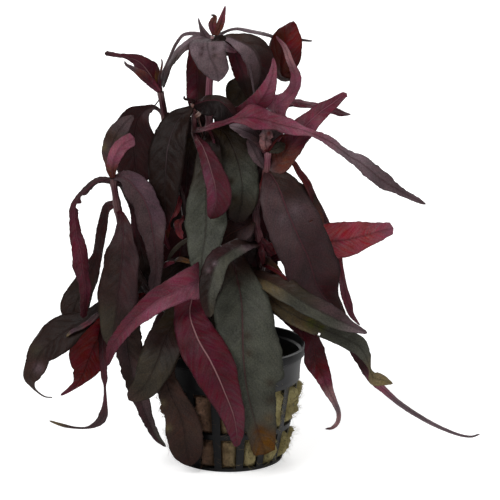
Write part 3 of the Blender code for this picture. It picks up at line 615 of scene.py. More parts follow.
def leafLift(plan, place, run, reach, half, across, seed):  # how far the blade stands off its route's plane
    slope = math.radians(plan["fold"])
    size, count = plan["wave"]
    rim = across * across
    broad = min(1, half / leafShape["broadHalf"])
    lift = (math.sqrt(reach * reach + leafShape["keel"] ** 2) - half * 0.5) * math.sin(slope)
    lift -= plan["curl"] * half * rim
    beat = math.tau * place * count + seed + (0 if across > 0 else leafShape["offBeat"])
    lift += size * rim * broad * math.sin(beat)
    spanAlong, spanAcross = leafShape["puckerSpan"]
    pucker = plan["pucker"] * rough(run / spanAlong, reach / spanAcross, seed)
    spanAlong, spanAcross = leafShape["buckleSpan"]
    buckle = leafShape["buckle"] * (leafShape["buckleBase"] + rim)
    buckle *= rough(run / spanAlong, reach / spanAcross, seed + 4)
    return lift + broad * (pucker + buckle)


def wallShare(place, run, reach):  # share of the full thickness: most at the foot and along the midrib
    ridge = math.exp(-(reach / leafShape["ridgeHalf"]) ** 2) * (1 - leafShape["ridgeThins"] * place)
    foot = 1 - eased(run / leafShape["footLength"])
    least = leafShape["edgeShare"]
    return least + (1 - least) * max(ridge * leafShape["ridgeShare"], foot)


def leafTints(plan, place, where, reach, other):
    shownSide = "underTint" if "under" in plan and "top" not in plan else "topTint"
    tints = {"topTint": toneAlong(plan.get("top", "plum umber plum"), place),
             "underTint": toneAlong(plan.get("under", "berry magenta berry"), place),
             "ribTint": toneAlong(plan["rib"], place)}
    if plan["otherHalf"]:
        part = eased(reach * other + 0.5)
        tints[shownSide] = blended(tints[shownSide], toneAlong(plan["otherHalf"], place), part)
    for across, rise, size, name in plan["dabs"]:
        part = math.exp(-(math.dist(where, (across, rise)) / size) ** 2 * leafShape["dabFade"])
        tints[shownSide] = blended(tints[shownSide], tone(name), part)
    return tints


def growLeaf(name, plan, materials):
    plan = {**leafUsual, **plan}
    curve = leafPath(plan)
    length = lengthOf(curve)
    fewest, most = leafShape["rows"]
    rows = max(fewest, min(most, round(length / leafShape["rowStep"])))
    columns = leafShape["columns" if max(plan["widths"]) > leafShape["slim"] else "slimColumns"]
    centres, shares = evenly(curve, rows)
    frames = framesAlong(centres, plan["turn"])
    other = otherSide(centres[rows // 2], frames[rows // 2][0])
    slope = math.radians(plan["fold"])
    seed = sum(ord(letter) for letter in name) % 97
    halves = leafHalves(plan, centres, frames, shares, length, other, seed)
    blade = addGrid(name + "_skin", rows, columns)
    mesh = blade.data
    spots, flat, thick, lines = [], [], [], []
    tints = {"topTint": [], "underTint": [], "ribTint": []}
    for vert in mesh.vertices:
        place, across = (vert.co.x + 1) / 2, vert.co.y
        row = round(place * rows)
        side, face = frames[row]
        half = halves[row, 1 if across >= 0 else -1]
        reach, run = across * half, place * length
        lift = leafLift(plan, place, run, reach, half, across, seed)
        point = centres[row] + side * reach * math.cos(slope) + face * lift
        spots.extend(point * mm)
        flat.append((run, reach, half))
        thick.append(wallShare(place, run, reach))
        for key, tint in leafTints(plan, place, seen(point), reach, other).items():
            tints[key].append((*tint, 1))
        lines.append((mixAlong(plan["veins"], place), mixAlong(plan["ribs"], place), 0))
    mesh.vertices.foreach_set("co", spots)
    mesh.update()
    writeAttribute(mesh, "flat", "FLOAT_VECTOR", flat)
    writeAttribute(mesh, "lines", "FLOAT_VECTOR", lines)
    for key, values in tints.items():
        writeAttribute(mesh, key, "FLOAT_COLOR", values)
    ribs = blade.vertex_groups.new(name="ribs")
    for index, weight in enumerate(thick):
        ribs.add([index], weight, "REPLACE")
    middle = mesh.polygons[len(mesh.polygons) // 2]
    row = min(rows, round((flat[middle.vertices[0]][0] / length) * rows))
    if middle.normal.dot(frames[row][1]) < 0:
        mesh.flip_normals()
    if plan["holes"]:
        pierce(blade, plan["holes"])
    wall = blade.modifiers.new("Wall", "SOLIDIFY")
    wall.thickness = leafShape["thickness"] * mm
    wall.offset = 0
    wall.vertex_group = "ribs"
    wall.thickness_vertex_group = 0.0
    wall.material_offset = 1
    for material in materials:
        mesh.materials.append(material)
    applyModifiers(blade)
    blade.vertex_groups.clear()
    blade.data.shade_smooth()
    seat(blade, name, plan["slot"])


def pierce(blade, holes):
    bpy.ops.object.mode_set(mode="EDIT")
    bpy.ops.mesh.select_mode(type="FACE")
    bpy.ops.mesh.select_all(action="DESELECT")
    bpy.ops.object.mode_set(mode="OBJECT")
    for face in blade.data.polygons:
        where = seen(face.center / mm)
        face.select = any(math.dist(where, hole[:2]) < hole[2] for hole in holes)
    bpy.ops.object.mode_set(mode="EDIT")
    bpy.ops.mesh.delete(type="FACE")
    bpy.ops.mesh.select_mode(type="VERT")
    bpy.ops.object.mode_set(mode="OBJECT")

def group(shared, leaves):  # gives each leaf what its group has in common
    return {name: {**shared, **plan} for name, plan in leaves.items()}


# The ash and mist of leaf_crown_front, and at the upper end of leaf_crown_grey, paint the grey sheen of these
# upturned leaves
crownLeaves = group(dict(stem="stem_centre"), {
    "leaf_crown_front": dict(turn=0, fold=6, pucker=0.5, route=[(-5.5, 146.8, -1.6), (-6.9, 146.6, -4),
        (-7.6, 145.6, -6.8), (-7.2, 142.4, -9), (-6.3, 140, -10.5), (-5.1, 137.6, -11.5), (-4.3, 135.2, -12),
        (-3.7, 132.1, -11.5)], widths=[2, 8, 12.3, 11.8, 10.8, 9.6, 8, 1.8], top="dusk ash mist ash ash mist",
        rib="dusk", dabs=[(-9.4, 143.8, 1.2, "plum"), (-5.4, 143.8, 1.2, "plum"), (-9.9, 141.6, 1.2, "plum"),
        (-5.15, 141.3, 1.2, "umber")]),
    "leaf_crown_arch_inner": dict(turn=40, route=[(-6.2, 145.5, -1), (-10, 146.9, -2.5), (-13, 146.1, -2),
        (-16.5, 143.7, 0), (-19.8, 139.8, 3.5), (-21.8, 135.5, 4.5), (-23.2, 130, 5.5)],
        widths=[1.2, 2.2, 3.2, 3.2, 2.8, 2.1, 1.2], top="umber umber dusk umber plum plum", rib="ash",
        otherHalf="mist mist mist ash dusk plum"),
    # leaf_crown_hanging: the berry and magenta dabs paint its left half lighter and its other half is darker
    # brown, painted light and shade on the two sides of its fold
    "leaf_crown_hanging": dict(turn=160, fold=22, route=[(-6.2, 143, 1.6), (-8.5, 145.6, 4), (-10.7, 144, 6),
        (-11.3, 139, 8), (-11.4, 133, 8.5), (-11.4, 127, 8), (-12, 119, 6)],
        widths=[1.4, 3.5, 6, 6.8, 7.2, 6.8, 3], under="garnet crimson crimson garnet wine wine", rib="berry",
        otherHalf="garnet wine rust garnet bark wine", dabs=[(-14, 140, 2.6, "berry"),
        (-14, 134, 2.6, "berry"), (-13.5, 128, 2.4, "magenta")]),
    "leaf_crown_thin": dict(turn=50, route=[(-3.4, 147.6, 1), (-1, 149.9, 2.5), (2.5, 150.7, 3),
        (6, 150.2, 4), (10, 149.4, 7), (13.5, 148.6, 9), (18, 147.4, 12), (24, 146.9, 12), (29.4, 146.4, 10)],
        widths=[0.9, 0.9, 0.9, 1.2, 1.5, 1.2, 1, 0.9, 0.5], top="mist mist mist ash ash dusk", rib="dusk"),
    "leaf_crown_grey": dict(route=[(-3.7, 145.5, -1.5), (-0.6, 147.8, -4.5), (3.7, 146.3, -7.5),
        (7.9, 144.2, -10), (10.6, 140, -11.5), (11.2, 135, -10), (9.5, 129, -7)],
        widths=[1.6, 3, 6, 9.4, 9.8, 8.5, 2], top="ash mist ash dusk umber",
        otherHalf="umber bark umber wine night"),
    "leaf_crown_dark": dict(turn=160, route=[(-3.6, 142.5, 0.6), (0.5, 145, 1), (3, 140, 0), (5.5, 133, -2),
        (7, 126, -3)], widths=[1.4, 4, 6, 5.5, 1.5], under="garnet garnet berry berry soil soil", rib="plum",
        dabs=[(0.2, 139.5, 1.7, "crimson"), (2.3, 134, 1.5, "crimson")]),
    "leaf_crown_olive": dict(route=[(-3.9, 140, 2.2), (0.5, 143, 6), (5.5, 141, 9), (8, 136, 9),
        (6, 131.5, 7), (3.6, 128, 5.5), (0.5, 123.5, 4)], widths=[1.4, 3.5, 7, 8.5, 8.6, 10.6, 7],
        top="olive moss olive moss olive olive"),
})

leftLeaves = group(dict(stem="stem_left"), {
    "leaf_shoot_left": dict(stem="stem_upper_left", turn=150, fold=15, ragged=2, route=[(-24.6, 128.6, 3.5),
        (-26.2, 132, 4.5), (-28.3, 135.8, 5), (-31.5, 139.2, 4), (-36, 140.9, 3.5), (-40.5, 141.6, 3),
        (-43.9, 142.2, 2)], widths=[1.4, 4.6, 7.2, 4.8, 2, 1.6, 1.7],
        under="garnet garnet berry berry magenta dusk", rib="blush", tip=0.4,
        ribs=[0.2, 0.5, 0.6, 0.3, 0.2, 0]),
    "leaf_left_tip": dict(turn=20, route=[(-41.2, 98, -7), (-41.9, 103, -9.5), (-41.6, 108, -11),
        (-40.2, 112.6, -11), (-37.3, 117, -9.5), (-33.6, 120.2, -8)], widths=[1.6, 4.8, 6.6, 6.6, 5.2, 1.2],
        top="clay clay dusk bark dusk dusk", ribs=0.2, dabs=[(-44.3, 109, 1.6, "khaki")]),
    "leaf_left_shoulder": dict(stem="stem_upper_left", turn=25, route=[(-23, 119.3, 4), (-24.4, 121.8, 5),
        (-26.6, 123.1, 6.5), (-29.4, 122, 8), (-31.8, 119.4, 9.5), (-33.2, 115, 10.5), (-33.6, 109, 11),
        (-33.2, 102, 11), (-31.5, 95, 10)], widths=[1.2, 1.2, 1.6, 3.8, 9.4, 14.6, 14.8, 13.8, 8],
        top="dusk claret claret claret claret wine", rib="wine",
        otherHalf="ash dusk claret claret claret wine"),
    "leaf_left_arch": dict(turn=140, ragged=2.2, route=[(-41.9, 96.6, -6.5), (-44, 97.5, -8),
        (-46.8, 97, -9.3), (-50, 94.5, -11), (-53, 91, -12.5), (-54.7, 86, -13.5), (-54.2, 79, -14),
        (-52.9, 73, -14.5), (-51.7, 66, -15.5), (-50.9, 60, -17), (-50.95, 55, -18), (-51.4, 48.7, -18.5)],
        widths=[1.4, 1.9, 1.9, 2.3, 2.7, 3.3, 4.3, 4.9, 5, 3.8, 2.9, 2],
        under="dusk dusk magenta magenta berry garnet", rib="pink",
        bites=[(-51.3, 91, 1.1), (-53.2, 88.3, 1)]),
    "leaf_left_dark": dict(turn=30, route=[(-40.6, 89.5, -5), (-42.8, 88, -3), (-44, 84.3, -1.5),
        (-44.9, 79.8, -1), (-45.8, 75, -0.5), (-46.8, 70, 0), (-49.3, 64, 0), (-51.9, 59, 0), (-54.2, 54, -1),
        (-55.3, 50, -2), (-55.5, 45.5, -2.5)], widths=[2, 3, 3.4, 3.8, 3.9, 4.3, 7, 9, 10.2, 7.6, 2],
        top="garnet claret claret claret soil soil soil", ribs=0.1),
    "leaf_left_front": dict(turn=25, route=[(-38.7, 86.5, -8), (-37.6, 84, -11), (-37.3, 80, -14),
        (-37.5, 75, -16), (-38, 70, -17.5), (-38.6, 65, -18.8), (-39.4, 57, -20.5), (-40.2, 49, -21.5),
        (-41, 43, -21), (-41.3, 37.5, -20)], widths=[1.4, 2.9, 5.9, 8.8, 12.2, 13, 13.6, 11.5, 8, 1.5],
        top="garnet plum umber umber moss moss", rib="magenta", otherHalf="garnet plum plum plum umber moss",
        ribs=[0.5, 0.5, 0.3, 0.1, 0, 0], dabs=[(-42, 63.5, 1.6, "night")]),
    "leaf_left_low": dict(turn=25, route=[(-34, 63, -8), (-40, 57, -10), (-46, 52.3, -12), (-51, 48.2, -13),
        (-57.3, 44.6, -14), (-62.4, 40.8, -15), (-66.6, 36.7, -15), (-68.2, 32.1, -15), (-70.3, 27.8, -14.5),
        (-69.5, 25, -14), (-67.8, 23, -13.5), (-65, 21.2, -13), (-62.3, 20.9, -12.5)],
        widths=[1.4, 3, 4, 6.5, 10.8, 12.1, 9.4, 7.6, 5.7, 2.5, 1.1, 0.8, 0.5],
        # the ash dab paints a grey highlight
        top="umber soil night soil umber bark dusk", dabs=[(-68, 37.5, 3, "moss"), (-67, 31, 2.2, "ash")]),
    "leaf_left_grey": dict(turn=20, wave=(0.9, 4), ragged=1.6, route=[(-40.3, 98, -6.8), (-38.4, 98.6, -9),
        (-35.7, 97.4, -11), (-33, 94.6, -12.5), (-30, 90.3, -13.3), (-28, 85, -14), (-27.2, 80, -14.5),
        (-26.4, 75, -15), (-25.8, 70, -15), (-25.7, 65, -14.5), (-26.3, 61, -13), (-26.5, 57, -12)],
        widths=[1.4, 3, 6.8, 8.8, 9.6, 9.6, 9, 6.8, 5, 4.2, 4, 2], top="ash dusk dusk dusk dusk dusk",
        rib="magenta", otherHalf="dusk mauve mauve dusk dusk dusk", ribs=[0.7, 0.9, 0.9, 0.7, 0.4, 0.1]),
    "leaf_left_behind": dict(turn=20, route=[(-39.9, 97.3, -5), (-37.6, 95.2, -5), (-35.5, 91.6, -3),
        (-33.8, 88.4, -1), (-32.9, 84, 0), (-32.6, 79, 1), (-31.2, 74, 2), (-30, 68, 2), (-29.7, 62, 1),
        (-29.6, 55, 0)], widths=[1.6, 2.4, 3, 3.2, 3.4, 3.8, 5, 6.6, 7, 4],
        top="wine wine wine berry wine soil pitch pitch"),
    "leaf_left_crimson": dict(turn=155, route=[(-29, 57.5, -4.8), (-36, 53, -3.5), (-43, 46.5, -4),
        (-46.8, 41, -5), (-49.4, 35.2, -5), (-51.3, 29.7, -5), (-53.5, 26, -5), (-56.2, 23.7, -5),
        (-59.4, 21.5, -5)], widths=[1.4, 6, 13, 16, 13.6, 8.4, 3.4, 1.8, 0.7],
        under="crimson blood blood blood blood pink", rib="wine", ribs=0.3, veins=0.02,
        bites=[(-55.8, 30.6, 0.9)]),
    "leaf_left_tail": dict(turn=40, route=[(-23, 52, -6.5), (-33, 49, -6.5), (-40.5, 47.8, -7),
        (-44.2, 44, -9), (-44.4, 36, -10.5), (-44.1, 28, -10), (-43.8, 24.5, -9.5), (-43.7, 19.5, -9),
        (-44.3, 14.8, -8.7), (-46, 12, -8.4), (-50, 10.2, -8), (-54.5, 10.2, -8), (-58.5, 11, -8.5),
        (-63.4, 12.6, -9)], widths=[1.2, 2.5, 3.1, 3.35, 2.9, 2.3, 0.8, 1.5, 2.8, 2.1, 0.7, 0.6, 0.95, 0.4],
        top="soil soil wine wine berry berry dusk dusk straw", rib="dusk"),
})

centreLeaves = {
    "leaf_centre_olive": dict(stem="side_shoot", turn=20, route=[(-13.4, 123.5, -1.5), (-17.5, 119.3, -4),
        (-20.5, 113.5, -7), (-22, 107, -9), (-22.7, 97, -11), (-22.6, 89.5, -12), (-22.6, 84, -11.8),
        (-22.5, 79.8, -11)], widths=[1.4, 8, 11.5, 12.4, 11.4, 8.2, 4, 1],
        top="soil night night night night garnet", rib="ash", ribs=[0, 0.5, 0.8, 0.2, 0, 0]),
    "leaf_centre_dark": dict(stem="stem_centre", route=[(-8.3, 116.5, 1.2), (-11.5, 114, 5), (-14, 108, 8),
        (-15, 98, 10), (-16, 88, 10.5), (-16.5, 78, 9)], widths=[1.4, 6, 9, 9.5, 9, 4],
        top="night olive wine wine soil"),
    "leaf_centre_green": dict(stem="stem_centre", turn=8, route=[(-6.2, 114.5, -1.6), (-6.8, 111, -7),
        (-7.2, 105, -10), (-7.8, 98, -12.5), (-8.2, 90, -15), (-8.25, 82, -17), (-8.6, 77, -18.5),
        (-9.4, 72, -21), (-9.8, 66, -24), (-10, 61, -26)],
        widths=[1.6, 6.5, 9, 9.8, 12.8, 14.4, 12.2, 10, 6.5, 1.5],
        top="soil night moss lichen lichen lichen moss"),
    "leaf_centre_magenta": dict(stem="side_shoot", turn=175, route=[(-11.6, 113.5, -2), (-10.9, 111.5, -8),
        (-9.3, 109, -12.5), (-7.7, 105, -16), (-6.2, 100, -18.5), (-4.9, 95, -20), (-4.7, 90, -21),
        (-5.7, 86, -21), (-6.7, 83.8, -20.5)], widths=[1.6, 2.6, 4.2, 5.8, 7.4, 8.4, 8, 5.4, 1.8],
        under="garnet cerise berry violet violet berry", rib="blush",
        otherHalf="garnet garnet berry berry berry garnet", uneven=[0, 0, 0, 0.1, 0.2, 0.25, 0.25, 0.2, 0],
        ribs=[0.2, 0.5, 0.5, 0.3, 0.1, 0], veins=0),
    "leaf_side_arched": dict(stem="side_shoot", route=[(-11.8, 123.8, -2), (-8.7, 125.3, -5),
        (-5.7, 125.7, -7), (-3.2, 125.3, -8), (-1.2, 123.8, -9), (0.9, 121.3, -9.5), (2.5, 119, -9.5)],
        widths=[1.4, 6.5, 7, 7.5, 8, 7, 3], top="pitch pitch pitch pitch", rib="magenta",
        otherHalf="wine soil wine", uneven=-0.5),
    "leaf_centre_grey": dict(stem="stem_centre", turn=10, route=[(-5.6, 116.5, 0), (-1.6, 114.2, -1.5),
        (1.8, 108, -5), (3.9, 101, -8), (4.7, 95, -11), (4.3, 89, -12), (2.5, 82.5, -12)],
        widths=[1.6, 9, 12, 12, 11.3, 9.8, 5], top="olive olive moss sage lichen moss umber", tip=1.5, dabs=[
        (6.2, 98, 2.8, "lichen"), (6.6, 110, 2, "soil"), (0.6, 97, 1.6, "olive"), (1.4, 91, 1.6, "olive")]),
    "leaf_centre_brown": dict(stem="stem_right", turn=20, route=[(8.4, 83, -8.3), (5, 80.9, -9.3),
        (0, 78.3, -10), (-4, 74.8, -10.5)], widths=[1.4, 8.5, 8.5, 2.5], top="bark dusk bark umber",
        rib="clay", veins=0.5),
    "leaf_centre_curl": dict(stem="stem_right", turn=25, route=[(9.8, 73.8, -8), (5.5, 74.6, -15),
        (0.3, 72.4, -23), (-4.2, 68.8, -28), (-6.2, 62.5, -32), (-7.4, 56, -34), (-6.9, 49, -35)],
        widths=[1.4, 4.8, 6.4, 7, 7.4, 5.2, 2], top="night umber plum night umber", rib="dusk",
        otherHalf="bark ash sage sage sage moss", ribs=0.2, dabs=[(-5, 68, 1, "mist"),
        (-7.4, 65.6, 1, "ash")]),
}

upperRightLeaves = group(dict(stem="stem_upper_right"), {
    # leaf_right_long: the mist and ash of its outer part paint the grey sheen on its upper side
    "leaf_right_long": dict(stem="side_shoot", turn=(30, 50, 45, 20, 15), fold=15, wave=(0.7, 7), ragged=1.6,
        route=[(-11.9, 114.6, -2.5), (-8, 115.6, -11), (-4, 117, -16), (0, 118.3, -17.5), (3.4, 119.3, -18),
        (6.4, 119.8, -18), (9.4, 119.8, -18), (12.5, 119, -18), (16, 117.9, -18), (20, 116.8, -18),
        (25, 115.3, -18), (30, 113.5, -18), (35.4, 111, -17.5), (39.5, 108, -17.5), (42.8, 105.6, -17),
        (46.4, 103.6, -17), (49.4, 101.2, -16.5), (52.3, 98.8, -16), (55.1, 96.7, -15.5), (58, 94.9, -15),
        (62, 92.6, -14.5), (66.3, 90.4, -14), (69.3, 88.9, -13)], widths=[1.6, 1.7, 1.8, 2.2, 4.2, 6.4, 8.6,
        8, 6.6, 5.2, 3.6, 2.7, 2.9, 3.2, 3.8, 4.6, 5.4, 5.9, 5.5, 3.5, 2.6, 1.9, 0.5],
        top="garnet magenta pink orchid mist ash ash", rib="crimson",
        ribs=[0, 0.2, 0.9, 1, 0.9, 0.6, 0.4, 0.3]),
    "leaf_magenta_up": dict(stem="stem_centre", turn=150, route=[(-5.6, 120.5, 0.8), (0, 119.6, -2),
        (4.5, 121.5, -7), (8.6, 123.6, -11), (11.5, 126, -15), (13.8, 129.8, -18), (15, 133.5, -20),
        (15.7, 137.5, -20), (15.5, 140.6, -20)], widths=[1.4, 4, 5, 5.6, 6.2, 4.8, 3.1, 1.7, 0.6],
        under="wine garnet magenta pink orchid orchid", rib="magenta"),
    "leaf_pink_arch": dict(turn=155, route=[(18.3, 118, 3.8), (17, 120.5, 1), (16.8, 123.3, -1),
        (19, 125.2, -3), (21.6, 127.6, -4), (23.2, 131, -6), (23.4, 134.5, -7), (22.2, 138, -8),
        (20.8, 141.5, -8), (19.5, 144.5, -8), (16.5, 148.2, -7)],
        widths=[6, 10, 9, 5.4, 4.4, 3.9, 3.7, 3.2, 2.7, 2, 0.7],
        under="pink orchid orchid orchid blush orchid", rib="orchid"),
    # leaf_crimson_top: its other half, on the right, is painted brighter red than the brick left half,
    # painted light and shade on the two sides of its fold
    "leaf_crimson_top": dict(turn=170, fold=40, route=[(21.6, 127.6, 6), (23.2, 130.4, 8), (22, 133.2, 9),
        (19.1, 134.8, 9.5), (19, 139.5, 9), (19.8, 144.5, 8), (21.4, 149.5, 7), (22.8, 153.4, 8)],
        widths=[1.2, 1.4, 2.4, 7, 11, 11.2, 7.8, 1.5], under="brick brick brick brick brick crimson",
        rib="wine", otherHalf="brick brick brick crimson blood crimson", ribs=0.1, veins=0.02,
        dabs=[(22.6, 148, 2.6, "blood")]),
    "leaf_right_mauve": dict(stem="stem_right", turn=160, route=[(14.3, 101.5, -10), (17, 102.8, -11),
        (19.7, 106.6, -11), (22.8, 111, -11), (26.3, 115.8, -11), (29.8, 119.3, -11), (33, 122, -10),
        (36.3, 124.3, -9.5), (39.5, 126.8, -9), (41.5, 128, -8)],
        widths=[1.4, 7, 7.8, 8, 8, 6.5, 5.4, 4.2, 2.8, 1.9],
        under="dusk clay clay magenta magenta pink magenta magenta pink", rib="orchid", tip=0.4,
        ribs=[0, 0.1, 0.2, 0.6, 0.8, 0.4]),
    "leaf_right_thin": dict(turn=45, route=[(20.1, 123.5, 5), (23, 124.7, 4.5), (27, 124.1, 3.5),
        (32, 123.3, 3), (37.5, 121.6, 2), (40, 120.8, 1.5), (42.8, 120.5, 1)],
        widths=[1.2, 2.6, 2.5, 2.2, 2.2, 1.8, 0.5], top="magenta pink pink berry berry berry", rib="berry"),
})

rightLeaves = group(dict(stem="stem_upper_right"), {
    "leaf_right_front": dict(stem="stem_right", wave=(0.7, 3), route=[(13.9, 99.5, -11.5), (15.2, 98.8, -13),
        (17.3, 95.5, -15.5), (19.3, 90.5, -17.5), (21.3, 85, -18), (23.5, 80, -17.5), (25.8, 75, -16.5),
        (28.2, 70, -15.5), (29.7, 65, -14.5), (31.3, 60, -13.5), (34.7, 55, -12.5), (41, 49.7, -12)],
        widths=[3, 8, 13, 16.4, 18, 18.6, 18.4, 18.8, 19.4, 18.2, 10.5, 1],
        top="plum dusk dusk plum plum wine", rib="magenta", otherHalf="bark umber dusk plum plum wine soil",
        # the two ash dabs paint patches of grey sheen highlight
        ribs=[0.9, 0.9, 0.8, 0.6, 0.4, 0.1], dabs=[(23.5, 87, 3.2, "ash"), (19, 83.5, 2.4, "ash"),
        (15, 92, 2.4, "dusk")], bites=[(27.6, 97.4, 1.5)], holes=[(27, 85, 0.45), (28.5, 83, 0.4),
        (29, 81.5, 0.4)]),
    "leaf_right_edge": dict(turn=50, route=[(17.6, 103, 7), (22.3, 104, 7), (24.9, 99.8, 7.5),
        (27.5, 95.6, 8), (29.3, 92.2, 9), (31.3, 88.3, 10), (33.1, 84.3, 11), (36, 77.5, 12),
        (38, 70.5, 11.5), (39.7, 63.5, 9), (41.2, 56, 6), (43, 50.5, 3), (46, 46.3, 1)],
        widths=[1.2, 1.6, 2.6, 2.8, 2.6, 2.6, 2.8, 3, 3.1, 3.1, 3, 2, 0.6],
        top="crimson crimson garnet crimson magenta magenta", rib="wine"),
    "leaf_right_behind": dict(turn=25, route=[(15.8, 92.5, 9), (20.5, 94, 9), (25, 91.5, 8), (28.8, 85.5, 7),
        (30.8, 79, 7), (31, 69, 7)], widths=[1.4, 6.5, 8.5, 8.5, 5.5, 1.2],
        top="umber bark bark clay clay clay"),
    "leaf_right_rose": dict(turn=165, route=[(11.6, 71.5, 9), (19, 73.5, 8), (28, 75.2, 6.5), (35, 75.9, 5.5),
        (42, 76.7, 5), (50, 78.6, 5), (57.9, 80.6, 5)], widths=[1.4, 8.3, 12.7, 12.8, 12, 8.2, 3.8],
        under="blood rose rose rose rose orchid", rib="garnet", tip=0.5, ribs=[0.4, 0.4, 0.5, 0.4, 0.2, 0],
        veins=0.06),
    "leaf_right_whip": dict(turn=(30, 50, 50, 40), route=[(11, 67.5, 7), (19, 70.5, 3), (28, 67, -1),
        (34, 59, -3), (39.5, 50.5, -4), (43.5, 38.5, -5), (46.6, 33, -5), (49.6, 28.3, -5), (53.8, 24.2, -5),
        (57.5, 20.8, -5), (62, 17.3, -5), (66, 14.7, -5), (73, 10.9, -5), (80, 8, -5), (85, 7, -5),
        (88.3, 7.9, -5)], widths=[1.4, 4, 6, 4.3, 3.1, 2.8, 2.5, 2.3, 2.1, 1.9, 1.7, 1.45, 1.1, 0.8, 0.6,
        0.4], top="garnet garnet wine wine wine garnet wine orchid mist mist mist ash", rib="plum"),
    "leaf_olive_upper": dict(stem="stem_centre", turn=30, route=[(-3.8, 69.3, -1), (3, 67, -5),
        (10, 63.5, -11), (18, 60, -20), (26, 54.7, -25.5), (34, 50.4, -27), (42, 46.5, -27),
        (48.6, 43.5, -26)], widths=[1.4, 4, 6.4, 8.2, 7.4, 7.2, 4.5, 1], top="rust bark khaki sage sage mist",
        otherHalf="rust bark bark moss dusk ash"),
    "leaf_olive_lower": dict(stem="stem_right", turn=30, route=[(9, 57, -7), (12, 57.5, -10), (20, 51.4, -15),
        (28, 47.5, -18.5), (36, 43.7, -20.5), (42, 41.2, -21), (46, 38.8, -21), (48.3, 35, -21),
        (49.6, 30.6, -21), (51, 27.8, -21), (54, 27, -21), (57.6, 25.7, -20)],
        widths=[1.4, 4.3, 6, 6.7, 6.2, 5.85, 5.5, 3.9, 1.2, 4.4, 3.6, 0.6],
        top="rust khaki khaki khaki sage sage sage straw straw", rib="moss", dabs=[(29, 47, 2, "fern"),
        (32.5, 45.5, 1.4, "fern")], holes=[(31.8, 43.2, 0.5), (30.8, 42.6, 0.4)]),
    "leaf_pot_crimson": dict(stem="stem_right", turn=25, route=[(6.6, 44, -6), (11, 50, -8), (16, 53, -9),
        (20.2, 50, -10.5), (25, 45.4, -12), (28.9, 41.6, -13), (30, 37.8, -13), (30.6, 34, -13),
        (32.6, 29.5, -13), (34.8, 24, -13), (37.1, 19.2, -12), (38.5, 15.6, -11.5), (38.3, 12.3, -11),
        (36.5, 10.2, -10), (33.9, 9.8, -10)], widths=[1.4, 5, 5.5, 5, 4.4, 4.8, 7, 7.6, 5.8, 3.8, 2.2, 1.7,
        1.7, 1.7, 0.7],
        top="night night soil wine wine garnet garnet garnet crimson magenta blush mist blush berry",
        rib="crimson", dabs=[(27.5, 33.5, 1.1, "magenta"), (29.5, 30, 1.1, "magenta"),
        (31.8, 26.5, 1.1, "pink")]),
})

